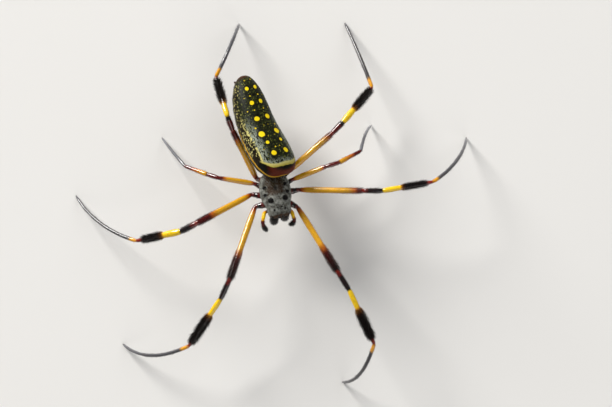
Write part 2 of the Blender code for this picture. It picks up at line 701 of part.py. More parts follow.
def make_foot(name, route, tibia, scale):
    """Metatarsus and tarsus in one curved piece, with its tip cut off flat at the floor."""
    along = route[1] - route[0]
    ankle = FOOT_RADII[0][1] * scale * MM
    route[0] = route[0] + along.normalized() * (GAP / 2 + ankle * math.tan(along.angle(tibia) / 2))
    radii = [scale * MM * through(k / FOOT_STEPS, FOOT_RADII) for k in range(FOOT_STEPS + 1)]
    add_object(name, tube_mesh(name, route, radii, cut_floor=True), "foot")


def main():
    prosoma = frame_empty("prosoma_frame", PROSOMA_AT, PROSOMA_TURN)
    abdomen = frame_empty("abdomen_frame", ABDOMEN_FRONT, ABDOMEN_TURN)
    bpy.context.view_layer.update()
    shell = make_carapace(prosoma)
    make_eyes(shell, prosoma)
    make_sternum(prosoma)
    make_mouthparts(prosoma)
    make_abdomen(abdomen)
    make_spinnerets(abdomen)
    make_pedicel()
    for key in POSE:
        make_leg(key)


clear_scene()
chance = random.Random(LOCK_SEED)
spider = make_collection("golden_silk_orb_weaver")
materials = {name: make_material(name) for name in COLOURS}
prosoma_matrix = frame_matrix(PROSOMA_AT, PROSOMA_TURN)
abdomen_matrix = frame_matrix(ABDOMEN_FRONT, ABDOMEN_TURN)
main()
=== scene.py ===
"""Golden silk orb weaver: skins, markings, eyes and coat of a life-size model, set on a pale floor.

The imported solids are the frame.  Metres, +Z up, the head towards -Y and the left legs towards +X.
Body parts have frames of their own: +Y forward, +Z towards the back, +X to the right side.
"""

import math

import bmesh
import bpy
import numpy as np
from bpy.props import FloatProperty, FloatVectorProperty, IntProperty, PointerProperty
from mathutils import Matrix, Vector, noise


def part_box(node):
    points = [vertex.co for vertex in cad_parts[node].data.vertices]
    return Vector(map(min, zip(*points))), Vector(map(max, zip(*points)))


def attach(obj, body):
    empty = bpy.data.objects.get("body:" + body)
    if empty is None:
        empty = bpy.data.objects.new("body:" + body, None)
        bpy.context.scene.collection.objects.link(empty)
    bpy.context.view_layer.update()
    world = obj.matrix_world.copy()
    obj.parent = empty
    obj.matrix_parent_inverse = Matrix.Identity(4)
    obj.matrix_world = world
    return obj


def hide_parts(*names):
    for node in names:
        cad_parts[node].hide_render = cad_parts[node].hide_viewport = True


bl_info = {
    "name": "Golden Silk Orb Weaver",
    "version": (1, 0, 0),
    "blender": (4, 5, 0),
    "location": "3D View > Sidebar > Orb Weaver",
    "description": "Builds the skins, markings, eyes, coat and stage of a life-size orb weaver",
    "category": "Object",
}

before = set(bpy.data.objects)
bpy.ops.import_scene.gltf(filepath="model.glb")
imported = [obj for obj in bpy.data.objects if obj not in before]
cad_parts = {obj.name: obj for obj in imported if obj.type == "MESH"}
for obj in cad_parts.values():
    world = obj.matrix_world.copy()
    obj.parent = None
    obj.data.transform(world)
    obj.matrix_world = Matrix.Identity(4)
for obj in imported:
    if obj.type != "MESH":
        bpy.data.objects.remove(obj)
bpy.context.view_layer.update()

MM = 0.001
PATCH = 0.003                   # width of one hair's patch on the coat's colour map

# Frames of the two body parts: place, then pitch, roll and heading in degrees
PROSOMA_AT = Vector((1.17, 1.69, 10.9)) * MM
PROSOMA_TURN = (0.0, -6.0, 192.0)
ABDOMEN_FRONT = Vector((2.69, 5.74, 16.0)) * MM
ABDOMEN_TURN = (15.0, -23.0, 202.5)

# Carapace: half width and height in mm at places forward of its middle
CARAPACE_ENDS = (-4.75, 4.85)
CARAPACE_WIDTHS = ((-4.75, 1.7), (-4.0, 2.5), (-2.6, 3.1), (-0.6, 3.35), (1.0, 3.15), (2.4, 2.62),
                   (3.6, 2.5), (4.4, 2.3), (4.85, 1.95))
CARAPACE_HEIGHTS = ((-4.75, 0.5), (-3.6, 1.2), (-2.2, 1.95), (-0.6, 2.1), (0.6, 2.6), (1.6, 2.95),
                    (3.2, 2.85), (4.3, 2.35), (4.85, 1.7))
# Underside of the carapace's edge: share of the half width, and height in mm
RIM_TUCK = ((-0.99, 0.02), (-0.93, -0.1), (-0.8, -0.2), (-0.4, -0.26), (0.0, -0.28), (0.4, -0.26),
            (0.8, -0.2), (0.93, -0.1), (0.99, 0.02))
FOVEA_AT = -1.3
HORN_AT = (1.5, 1.1)
# Bare spots of the carapace: sideways, forward and radius in mm, the same on both sides
BARE_SPOTS = ((1.55, 1.15, 0.62), (2.25, -1.8, 0.42), (2.42, -0.15, 0.4), (1.2, 3.3, 0.24), (0.5, 2.85, 0.2))

# Sternum: half width in mm at places forward of the carapace's middle
STERNUM_WIDTHS = ((-4.4, 0.3), (-3.7, 0.62), (-3.05, 0.95), (-1.65, 1.55), (0.0, 1.7), (1.75, 1.4),
                  (2.95, 0.75))

# Mouthparts, in the prosoma's frame, in mm
MOUTH_LOBE = ((1.35, 2.5, -1.5), (1.0, 3.2, -1.85), (0.62, 3.9, -2.0))
CHELICERA_BASE = (1.12, 4.1, -0.45)
CHELICERA_TIPS = {"r": (1.4, 5.95, -3.7), "l": (-1.1, 5.55, -4.0)}
CHELICERA_SWELL = ((0.0, 0.66), (0.12, 0.86), (0.32, 0.94), (0.6, 0.85), (0.85, 0.68), (1.0, 0.42))
FANG_LENGTH = 1.6
PALP_ROUTES = {
    "r": ((1.75, 3.15, -1.35), (2.6, 3.25, -0.75), (3.25, 3.45, 0.1), (3.65, 4.2, 0.5), (4.0, 5.1, 0.5),
          (4.05, 5.9, 0.1), (3.8, 6.7, -0.7), (3.3, 7.35, -1.5)),
    "l": ((-1.75, 3.3, -1.35), (-2.25, 3.75, -0.9), (-2.6, 4.3, -0.65), (-2.75, 5.0, -0.65),
          (-2.85, 5.7, -0.8), (-2.85, 6.35, -1.2), (-2.35, 6.9, -1.75), (-1.65, 7.0, -2.2)),
}
PALP_SWELL = ((0.0, 0.3), (0.18, 0.33), (0.2, 0.27), (0.23, 0.36), (0.45, 0.42), (0.52, 0.33), (0.55, 0.38),
              (0.66, 0.38), (0.7, 0.31), (0.74, 0.4), (0.85, 0.46), (0.94, 0.36), (1.0, 0.15))

# Abdomen: half width in mm at shares of the length from its front
ABDOMEN_LENGTH = 24.0
ABDOMEN_WIDTHS = ((0.0, 4.6), (0.17, 4.7), (0.34, 4.5), (0.5, 4.12), (0.66, 3.95), (0.83, 3.77), (1.0, 3.3))
ABDOMEN_DEPTH = 0.95
BLUNTNESS = {"back": 4.0, "belly": 2.0, "rear": 2.6}
ABDOMEN_BOW = (0.85, 0.0, -0.8)
PATTERN_ROLL = 8.0              # the markings' midline is turned this far to the left side, in degrees
# Dimples of the back, on both sides: across and along from the front, in mm
DIMPLES = ((0.75, 5.6), (1.05, 8.0), (0.9, 11.0), (0.8, 14.8), (0.7, 18.4))
SPINNERET_SHARE = 0.93
# Spinnerets, on both sides: along the body, outwards, length and radius in mm
SPINNERET_CONES = ((-0.5, 0.42, 1.75, 0.34), (0.0, 0.3, 1.25, 0.22), (0.48, 0.42, 1.7, 0.3))
PEDICEL_ROOT = (0.0, -5.05, -1.15)
PEDICEL_SHARE = 0.16

# Legs: lengths in mm of femur, patella, tibia, foot, and coxa with trochanter; roots forward and sideways
LEG_LENGTHS = {
    "1": (17.3, 4.6, 13.0, 19.0, 3.1),
    "2": (14.6, 4.0, 10.9, 20.2, 3.2),
    "3": (8.0, 2.8, 6.0, 11.5, 2.6),
    "4": (12.4, 3.4, 10.2, 18.0, 2.8),
}
COXA_ROOTS = {"1": (1.75, 1.75), "2": (0.0, 2.05), "3": (-1.65, 1.9), "4": (-3.15, 1.37)}
COXA_DEPTH = 1.15
# Pose in degrees: yaw from +X and lift of each piece; a foot turns from its first yaw to its second
POSE = {
    "r1": dict(coxa=(-170, -6), femur=(-109, 16), patella=(-115, -13), tibia=(-124, -15),
               foot=(-156, -223), swing=1.6, lift=-23),
    "l1": dict(coxa=(-27, -2), femur=(-58, 20), patella=(-58, 3), tibia=(-65, -7),
               foot=(-108, -182), swing=2.0, lift=-27),
    "r2": dict(coxa=(172, -8), femur=(208, 24), patella=(207, -22), tibia=(192, -22),
               foot=(164, 122), swing=1.1, lift=-23),
    "l2": dict(coxa=(11, -1), femur=(-1, 16), patella=(0, 7), tibia=(10, 3),
               foot=(31, 78), swing=1.0, lift=-24),
    "r3": dict(coxa=(154, -9), femur=(171, 14), patella=(163, -26), tibia=(160, -26),
               foot=(132, 128), swing=1.1, lift=-32),
    "l3": dict(coxa=(29, -2), femur=(21, 14), patella=(17, 3), tibia=(28, -24),
               foot=(79, 41), swing=1.4, lift=-32),
    "r4": dict(coxa=(165, -40), femur=(116, 20), patella=(110, 25), tibia=(107, -26),
               foot=(62, 77), swing=1.0, lift=12),
    "l4": dict(coxa=(37, -4), femur=(41, 5), patella=(46, -5), tibia=(50, -12),
               foot=(110, 114), swing=1.1, lift=-20),
}
PIECES = ("coxa", "femur", "patella", "tibia", "foot")
FOOT_STEPS = 12
# Leg thickness: radius in mm at places along the leg, where each whole number starts a new piece
LEG_RADII = ((0.0, 0.6), (0.3, 0.7), (0.62, 0.7), (0.74, 0.52), (0.8, 0.58), (0.93, 0.56), (1.0, 0.4),
             (1.02, 0.5), (1.12, 0.64), (1.25, 0.7), (1.6, 0.65), (1.9, 0.56), (1.97, 0.53), (2.0, 0.4),
             (2.05, 0.5), (2.3, 0.56), (2.65, 0.58), (2.92, 0.53), (3.0, 0.42), (3.03, 0.54), (3.15, 0.63),
             (3.3, 0.58), (3.5, 0.5), (3.85, 0.46), (3.96, 0.42), (4.0, 0.31), (4.02, 0.41), (4.3, 0.37),
             (4.62, 0.34), (4.67, 0.28), (4.7, 0.32), (4.92, 0.28), (5.0, 0.2))
PAIR_THICKNESS = {"1": 1.0, "2": 0.97, "3": 0.86, "4": 1.0}
# Where two of the legs are thicker than their pair
LEG_SWELL = {"r2": ((1.3, 1.0), (1.9, 1.2), (3.3, 1.3), (3.55, 1.1), (4.0, 1.0)),
             "l4": ((2.3, 1.0), (3.0, 1.15), (3.3, 1.18), (3.5, 1.0))}
# Length in mm and share of full density of the hair at places along a leg with brushes, and one without
BRUSH_LEG = ((0.0, 0.25, 0.25), (1.0, 0.3, 0.2), (1.55, 0.35, 0.2), (1.72, 0.6, 0.5), (1.92, 0.7, 0.55),
             (2.0, 0.5, 0.35), (2.9, 0.5, 0.3), (3.0, 0.35, 0.2), (3.32, 0.35, 0.2), (3.335, 1.1, 1.0),
             (3.42, 1.5, 1.0), (3.75, 1.5, 1.0), (3.84, 1.15, 1.0), (3.88, 0.6, 0.4), (3.91, 0.4, 0.2),
             (4.0, 0.3, 0.3), (4.08, 0.4, 0.3), (4.6, 0.45, 0.35), (4.9, 0.3, 0.4), (4.97, 0.15, 0.0),
             (5.0, 0.1, 0.0))
BARE_LEG = ((0.0, 0.25, 0.25), (1.0, 0.3, 0.2), (2.0, 0.35, 0.25), (3.0, 0.4, 0.3), (4.0, 0.35, 0.35),
            (4.9, 0.28, 0.4), (4.97, 0.15, 0.0), (5.0, 0.1, 0.0))
# Painted light and shade of each leg's foot against the named foot colour: the paler feet carry painted
# highlight, the darker ones painted shade
FOOT_PAINTED_LIGHT = {"r1": 0.75, "l1": 0.55, "r2": 0.6, "l2": 0.9, "r3": 1.3, "l3": 2.0, "r4": 1.0, "l4": 0.35}
# Places along each leg where the femur darkens, the knee turns black, the yellow ring ends, the brush ends
# and the foot's orange ends
LEG_MARKS = {
    "r1": (1.66, 2.2, 3.33, 3.93, 4.085), "l1": (1.66, 2.2, 3.34, 3.9, 4.085),
    "r2": (1.72, 2.25, 3.39, 3.87, 4.06), "l2": (1.86, 2.15, 3.37, 3.9, 4.06),
    "r3": (1.86, 2.5, 3.55, 3.9, 4.05), "l3": (1.9, 2.5, 3.55, 3.9, 4.05),
    "r4": (1.8, 2.7, 3.31, 3.95, 4.1), "l4": (1.91, 2.7, 3.37, 3.955, 4.1),
}
BRUSH_START, BRUSH_END = 3.33, 3.88     # where the brush starts and ends in the table of hair lengths
FEMUR_BRUSH_START = 1.6
# Length of each leg's tibia brush, and length and density of each pair's femur brush, against the tables
BRUSH_LENGTH = {"r1": 1.0, "l1": 1.0, "r2": 0.8, "l2": 0.62, "r3": 1.0, "l3": 1.0, "r4": 0.86, "l4": 0.86}
FEMUR_BRUSH = {"1": 1.5, "2": 1.0, "3": 1.0, "4": 1.0}


def colour(label, note, value):
    return FloatVectorProperty(name=label, description=note, subtype="COLOR", size=3, default=value,
                               min=0.0, max=1.0)


def length(label, note, value):
    return FloatProperty(name=label, description=note, subtype="DISTANCE", unit="LENGTH", default=value,
                         min=0.0, precision=6)


def amount(label, note, value, low=0.0, high=10.0):
    return FloatProperty(name=label, description=note, default=value, min=low, max=high)


class OrbWeaverBody(bpy.types.PropertyGroup):
    """Colours and marking sizes of the carapace, abdomen, mouthparts and eyes."""

    silver: colour("Silver down", "Short down over most of the carapace", (0.29, 0.295, 0.27))
    silver_hair: colour("Silver hair", "Palest hairs of the down", (0.40, 0.41, 0.37))
    thorax: colour("Thorax", "Brown skin that shows through between the down", (0.012, 0.008, 0.004))
    bare: colour("Bare skin", "Black bare spots and the edge of the carapace", (0.002, 0.0018, 0.0018))
    brow: colour("Brow", "Brown face round the eyes", (0.06, 0.032, 0.018))
    jaw: colour("Jaws", "Mouthparts and the face below the eyes", (0.004, 0.0025, 0.002))
    fang: colour("Fangs", "Dark red of the fangs", (0.045, 0.008, 0.005))
    sternum: colour("Sternum", "Brown plate between the legs", (0.03, 0.015, 0.008))
    sternum_band: colour("Sternum band", "Yellow across the plate", (0.42, 0.24, 0.03))
    eye: colour("Eyes", "Lens of each eye", (0.004, 0.004, 0.005))
    olive: colour("Olive", "Fine mottling of the abdomen's back", (0.017, 0.022, 0.003))
    night: colour("Dark ground", "Ground colour of the abdomen", (0.002, 0.0025, 0.0006))
    spot: colour("Spots", "Yellow spots in pairs", (0.72, 0.54, 0.004))
    cream: colour("Front band", "Pale band round the abdomen's front edge", (0.44, 0.37, 0.07))
    haze: colour("Haze", "Grey-white haze inside the band", (0.25, 0.28, 0.22))
    fleck: colour("Flecks", "Short dashes on the flanks", (0.50, 0.45, 0.16))
    hem: colour("Low line", "Thin orange line low round the front", (0.55, 0.30, 0.012))
    freckle: colour("Freckles", "Fine green-yellow dots of the back", (0.16, 0.17, 0.03))
    flank: colour("Flanks", "Brown mottling of the flanks", (0.02, 0.011, 0.003))
    rust: colour("Rust", "Red-brown of the front face and the rear tip", (0.10, 0.012, 0.002))
    spot_radius: length("Spot radius", "Radius of the largest yellow spots", 0.00062)
    band_width: length("Band width", "Width of the pale front band", 0.00072)


class OrbWeaverLegs(bpy.types.PropertyGroup):
    """Colours of the legs and palps."""

    femur: colour("Femur", "Yellow-orange of the long first piece", (0.62, 0.31, 0.007))
    femur_edge: colour("Femur edge", "Orange where the yellow ends", (0.45, 0.10, 0.004))
    dark_red: colour("Dark red", "Hips, knees and ends", (0.085, 0.002, 0.001))
    black: colour("Black", "Brushes and far pieces", (0.0025, 0.002, 0.0025))
    yellow: colour("Yellow", "Bright ring of the tibia", (0.84, 0.54, 0.006))
    orange: colour("Orange", "Base of the foot", (0.72, 0.32, 0.008))
    # The foot colour is partly painted highlight: it is lifted above the feet's own darker blue-grey to stand
    # in for the highlights on them
    foot: colour("Foot", "Blue-grey of the thin far pieces", (0.10, 0.106, 0.118))
    joint: colour("Joint red", "Bright red just above the foot", (0.2, 0.01, 0.003))
    gloss: amount("Roughness", "Roughness of the leg skin", 0.25, 0.05, 1.0)


class OrbWeaverCoat(bpy.types.PropertyGroup):
    """Hair of the legs and body."""

    brush_density: amount("Brush density", "Hairs on a square millimetre at full density", 84.0, 0.0, 400.0)
    brush_thickness: amount("Brush thickness", "Hair radius as a share of its length", 0.03, 0.005, 0.2)
    down_density: amount("Down density", "Hairs on a square millimetre of the carapace", 120.0, 0.0, 400.0)
    hide_density: amount("Hide density", "Hairs on a square millimetre of the abdomen", 12.0, 0.0, 400.0)
    seed: IntProperty(name="Seed", description="Seed of all scattered hair", default=11, min=0)


class OrbWeaverStage(bpy.types.PropertyGroup):
    """Floor, lights and camera."""

    floor: colour("Floor", "Pale floor", (0.74, 0.73, 0.71))
    camera_height: length("Camera height", "Height of the camera above the floor", 0.6)
    camera_x: FloatProperty(name="Camera X", description="Camera place along X", unit="LENGTH",
                            default=0.0077, precision=6)
    camera_y: FloatProperty(name="Camera Y", description="Camera place along Y", unit="LENGTH",
                            default=-0.00028, precision=6)
    picture_width: length("Picture width", "Width of the floor that the camera sees", 0.13464)
    key_power: FloatProperty(name="Key light", description="Power of the main light", unit="POWER",
                             default=100.0, min=0.0)
    fill_power: FloatProperty(name="Fill light", description="Power of the soft light from above",
                              unit="POWER", default=24.0, min=0.0)
    low_power: FloatProperty(name="Low light", description="Power of the light in front of the head",
                             unit="POWER", default=18.0, min=0.0)


# Curves and places

def curve(value, stops):
    """Height, at one or many places, of the smooth curve through (place, height) stops."""
    place = np.array([stop[0] for stop in stops], float)
    height = np.array([stop[1] for stop in stops], float)
    value = np.clip(np.asarray(value, float), place[0], place[-1])
    span = np.clip(np.searchsorted(place, value, side="left") - 1, 0, len(place) - 2)
    before, after = np.maximum(span - 1, 0), np.minimum(span + 2, len(place) - 1)
    width = place[span + 1] - place[span]
    slope_in = (height[span + 1] - height[before]) / (place[span + 1] - place[before])
    slope_out = (height[after] - height[span]) / (place[after] - place[span])
    part = (value - place[span]) / width
    rise = 3 * part ** 2 - 2 * part ** 3
    lead_in = width * slope_in * (part ** 3 - 2 * part ** 2 + part)
    lead_out = width * slope_out * (part ** 3 - part ** 2)
    return height[span] * (1 - rise) + height[span + 1] * rise + lead_in + lead_out


def straight(value, stops):
    """Height of the straight-sided line through (place, height) stops."""
    return np.interp(value, [stop[0] for stop in stops], [stop[1] for stop in stops])


def heading(yaw, lift):
    flat = math.cos(math.radians(lift))
    return Vector((flat * math.cos(math.radians(yaw)), flat * math.sin(math.radians(yaw)),
                   math.sin(math.radians(lift))))


def part_frame(place, turn):
    pitch, roll, yaw = [math.radians(angle) for angle in turn]
    turned = Matrix.Rotation(yaw, 4, "Z") @ Matrix.Rotation(pitch, 4, "X") @ Matrix.Rotation(roll, 4, "Y")
    return Matrix.Translation(place) @ turned


PROSOMA = part_frame(PROSOMA_AT, PROSOMA_TURN)
ABDOMEN = part_frame(ABDOMEN_FRONT, ABDOMEN_TURN)


def placed(points, matrix):
    """Points in mm of a part's frame as metres in the world."""
    turned = np.array(matrix.to_3x3())
    return np.asarray(points, float) * MM @ turned.T + np.array(matrix.translation)


def ripple(points, size, seed=0.0):
    """Smooth noise from -1 to 1 at points in mm; size is that of its bumps in mm."""
    flat = points.reshape(-1, 3) / size + seed
    return np.array([noise.noise(Vector(point)) for point in flat]).reshape(points.shape[:-1])


# Meshes

def skin(name, rows, facts=None):
    """A closed skin over rings of equal counts, as an object at the origin.

    rows is (rings, around, 3) in metres.  facts maps names to (rings, around) numbers or (rings, around, 3)
    vectors kept on the points.  Its unwrap runs around and along it.
    """
    rings, around = rows.shape[:2]
    flat = rows.reshape(-1, 3)
    caps = np.array([rows[0].mean(0), rows[-1].mean(0)])
    points = np.vstack([flat, caps])
    ring, k = np.meshgrid(np.arange(rings - 1), np.arange(around), indexing="ij")
    follow = (k + 1) % around
    quads = np.stack([ring * around + k, ring * around + follow, (ring + 1) * around + follow,
                      (ring + 1) * around + k], -1).reshape(-1, 4)
    k = np.arange(around)
    follow = (k + 1) % around
    first, last = rings * around, rings * around + 1
    start = np.stack([follow, k, np.full(around, first)], -1)
    end = np.stack([(rings - 1) * around + k, (rings - 1) * around + follow, np.full(around, last)], -1)
    mesh = bpy.data.meshes.new(name)
    mesh.from_pydata(points.tolist(), [], quads.tolist() + start.tolist() + end.tolist())
    steps = np.linalg.norm(np.diff(rows.mean(1), axis=0), axis=1)
    size = np.linalg.norm(np.diff(rows, axis=0), axis=2).max(1)
    along = np.concatenate([[0.0], np.cumsum(np.maximum(steps, size))])
    along = 0.01 + 0.98 * along / along[-1]
    u = 0.002 + 0.996 * np.arange(around + 1) / around
    low, high, middle = u[:-1], u[1:], (u[:-1] + u[1:]) / 2

    def corners(*places):
        """Corners of faces in order, each given by its place around and its place along."""
        return np.stack([np.stack(np.broadcast_arrays(*place), -1) for place in places], -2).reshape(-1, 2)

    near, far = along[:-1, None], along[1:, None]
    quad_uv = corners((low, near), (high, near), (high, far), (low, far))
    start_uv = corners((high, along[0]), (low, along[0]), (middle, 0.002))
    end_uv = corners((low, along[-1]), (high, along[-1]), (middle, 0.998))
    unwrap = mesh.uv_layers.new(name="SkinUnwrap")
    unwrap.data.foreach_set("uv", np.vstack([quad_uv, start_uv, end_uv]).ravel().astype(np.float32))
    for label, values in (facts or {}).items():
        values = np.asarray(values, float)
        if values.ndim == 3:
            store = mesh.attributes.new(label, "FLOAT_VECTOR", "POINT")
            full = np.vstack([values.reshape(-1, 3), values[0].mean(0), values[-1].mean(0)])
            store.data.foreach_set("vector", full.ravel().astype(np.float32))
        else:
            store = mesh.attributes.new(label, "FLOAT", "POINT")
            full = np.concatenate([values.ravel(), [values[0].mean()], [values[-1].mean()]])
            store.data.foreach_set("value", full.astype(np.float32))
    return finished(name, mesh)


def finished(name, mesh):
    """An object at the origin whose faces point outwards."""
    bm = bmesh.new()
    bm.from_mesh(mesh)
    bmesh.ops.recalc_face_normals(bm, faces=bm.faces)
    bm.to_mesh(mesh)
    bm.free()
    mesh.shade_smooth()
    made = bpy.data.objects.new(name, mesh)
    bpy.context.scene.collection.objects.link(made)
    return made


def tangents(route):
    step = np.gradient(route, axis=0)
    return step / np.linalg.norm(step, axis=1)[:, None]


def sweep(route, radii, around, squash=1.0):
    """Rings round a route: (rings, around, 3).  squash flattens them along their first up direction."""
    along = tangents(route)
    side = np.cross(along[0], (0.0, 0.0, 1.0))
    side /= np.linalg.norm(side)
    sides = []
    for tangent in along:
        side = side - tangent * side.dot(tangent)
        side /= np.linalg.norm(side)
        sides.append(side)
    sides = np.array(sides)
    ups = np.cross(sides, along)
    angle = 2 * math.pi * np.arange(around) / around
    ring = (sides[:, None] * np.cos(angle)[None, :, None]
            + ups[:, None] * (squash * np.sin(angle))[None, :, None])
    return route[:, None] + ring * np.asarray(radii)[:, None, None]


def rounded_ends(route, radii):
    """The route and radii with both ends made round within its length, and each place as a share of it."""
    steps = 4
    reach = [radii[0], radii[-1]]
    lengths = np.concatenate([[0.0], np.cumsum(np.linalg.norm(np.diff(route, axis=0), axis=1))])
    total = lengths[-1]
    lead = reach[0] * (1 - np.cos(np.linspace(0.12, 0.5, steps) * math.pi))
    tail = total - reach[1] * (1 - np.cos(np.linspace(0.5, 0.12, steps) * math.pi))
    inner = lengths[(lengths > reach[0] * 1.05) & (lengths < total - reach[1] * 1.05)]
    places = np.concatenate([lead, inner, tail])
    points = np.stack([np.interp(places, lengths, route[:, axis]) for axis in range(3)], -1)
    sizes = np.interp(places, lengths, radii)
    for k in range(steps):
        part = math.sin(np.linspace(0.12, 0.5, steps)[k] * math.pi)
        sizes[k] *= part
        sizes[-1 - k] *= part
    return points, sizes, places / total


def through_points(points, steps):
    """A smooth route through a few points."""
    stops = np.arange(len(points))
    value = np.linspace(0, len(points) - 1, steps)
    return np.stack([curve(value, list(zip(stops, [p[axis] for p in points]))) for axis in range(3)], -1)


def join(name, objects):
    """One object from several; their materials and attributes stay."""
    bpy.ops.object.select_all(action="DESELECT")
    for item in objects:
        item.select_set(True)
    bpy.context.view_layer.objects.active = objects[0]
    bpy.ops.object.join()
    objects[0].name = name
    objects[0].data.name = name
    return objects[0]


def dress(piece, material, nodes=()):
    """Give a finished piece its material, its body and the solids it stands for."""
    piece.data.materials.clear()
    piece.data.materials.append(material)
    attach(piece, "root")
    if nodes:
        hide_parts(*nodes)
    return piece


# Materials

class Paint:
    """A node material put together by short calls; numbers and sockets can both be given as values."""

    def __init__(self, name, roughness=0.45, **fixed):
        self.material = bpy.data.materials.new(name)
        self.material.use_nodes = True
        self.tree = self.material.node_tree
        self.shader = self.tree.nodes["Principled BSDF"]
        self.shader.inputs["Roughness"].default_value = roughness
        for label, value in fixed.items():
            self.shader.inputs[label.replace("_", " ").title().replace("Ior", "IOR")].default_value = value

    def node(self, kind, **settings):
        made = self.tree.nodes.new(kind)
        for label, value in settings.items():
            setattr(made, label, value)
        return made

    def feed(self, socket, value):
        if isinstance(value, bpy.types.NodeSocket):
            self.tree.links.new(value, socket)
        elif hasattr(value, "__len__"):
            value = tuple(value)
            if len(value) == 3 and socket.type == "RGBA":
                value = (*value, 1.0)
            socket.default_value = value
        else:
            socket.default_value = value

    def fact(self, name):
        return self.node("ShaderNodeAttribute", attribute_name=name).outputs["Fac"]

    def place(self, name):
        return self.node("ShaderNodeAttribute", attribute_name=name).outputs["Vector"]

    def coords(self):
        return self.node("ShaderNodeTexCoord").outputs["Object"]

    def split(self, vector):
        made = self.node("ShaderNodeSeparateXYZ")
        self.feed(made.inputs[0], vector)
        return made.outputs

    def stretch(self, vector, scale):
        made = self.node("ShaderNodeMapping")
        self.feed(made.inputs["Vector"], vector)
        made.inputs["Scale"].default_value = scale
        return made.outputs[0]

    def sum(self, operation, first, second=0.0):
        made = self.node("ShaderNodeMath", operation=operation)
        self.feed(made.inputs[0], first)
        self.feed(made.inputs[1], second)
        return made.outputs[0]

    def plus(self, first, second):
        return self.sum("ADD", first, second)

    def minus(self, first, second):
        return self.sum("SUBTRACT", first, second)

    def times(self, *values):
        out = values[0]
        for value in values[1:]:
            out = self.sum("MULTIPLY", out, value)
        return out

    def fade(self, value, start, end):
        """0 at start and 1 at end, smooth between them."""
        made = self.node("ShaderNodeMapRange", interpolation_type="SMOOTHSTEP")
        self.feed(made.inputs["Value"], value)
        low, high = (start, end) if start < end else (end, start)
        made.inputs["From Min"].default_value = low
        made.inputs["From Max"].default_value = high
        made.inputs["To Min"].default_value = 0.0 if start < end else 1.0
        made.inputs["To Max"].default_value = 1.0 if start < end else 0.0
        return made.outputs[0]

    def away(self, x, y, across, along):
        """Distance of x, y from a place."""
        dx = self.minus(x, across)
        dy = self.minus(y, along)
        return self.sum("SQRT", self.plus(self.times(dx, dx), self.times(dy, dy)))

    def join_up(self, x, y, z):
        made = self.node("ShaderNodeCombineXYZ")
        for socket, value in zip(made.inputs, (x, y, z)):
            self.feed(socket, value)
        return made.outputs[0]

    def near(self, value, place, half, soft=0.35):
        """1 within half of a place, 0 outside; soft is the share of half over which it fades."""
        away = self.sum("ABSOLUTE", self.minus(value, place))
        return self.fade(away, half * (1 + soft), half * (1 - soft))

    def mix(self, share, first, second):
        made = self.node("ShaderNodeMix", data_type="RGBA")
        self.feed(made.inputs["Factor"], share)
        self.feed(made.inputs[6], first)
        self.feed(made.inputs[7], second)
        return made.outputs[2]

    def noise(self, vector, scale, detail=2.0, roughness=0.5):
        made = self.node("ShaderNodeTexNoise")
        self.feed(made.inputs["Vector"], vector)
        made.inputs["Scale"].default_value = scale
        made.inputs["Detail"].default_value = detail
        made.inputs["Roughness"].default_value = roughness
        return made.outputs["Fac"]

    def cells(self, vector, scale):
        """Distance to the nearest of scattered points, and a random number for each point."""
        made = self.node("ShaderNodeTexVoronoi")
        self.feed(made.inputs["Vector"], vector)
        made.inputs["Scale"].default_value = scale
        return made.outputs["Distance"], self.split(made.outputs["Color"])[0]

    def ramp(self, value, stops):
        made = self.node("ShaderNodeValToRGB")
        self.feed(made.inputs[0], value)
        marks = made.color_ramp.elements
        while len(marks) > 1:
            marks.remove(marks[-1])
        marks[0].position, marks[0].color = stops[0][0], (*stops[0][1], 1.0)
        for place, shade in stops[1:]:
            mark = marks.new(place)
            mark.color = (*shade, 1.0)
        return made.outputs[0]

    def bump(self, height, strength, distance):
        made = self.node("ShaderNodeBump")
        made.inputs["Strength"].default_value = strength
        made.inputs["Distance"].default_value = distance
        self.feed(made.inputs["Height"], height)
        self.tree.links.new(made.outputs[0], self.shader.inputs["Normal"])

    def finish(self, shade, roughness=None):
        self.feed(self.shader.inputs["Base Color"], shade)
        if roughness is not None:
            self.feed(self.shader.inputs["Roughness"], roughness)
        return self.material


BALD_BROWN = (0.05, 0.022, 0.008)
STAINED_DOWN = (0.05, 0.04, 0.016)
BELLY_MARKS = (0.12, 0.08, 0.02)
BRISTLE_BLACK = (0.008, 0.004, 0.002)


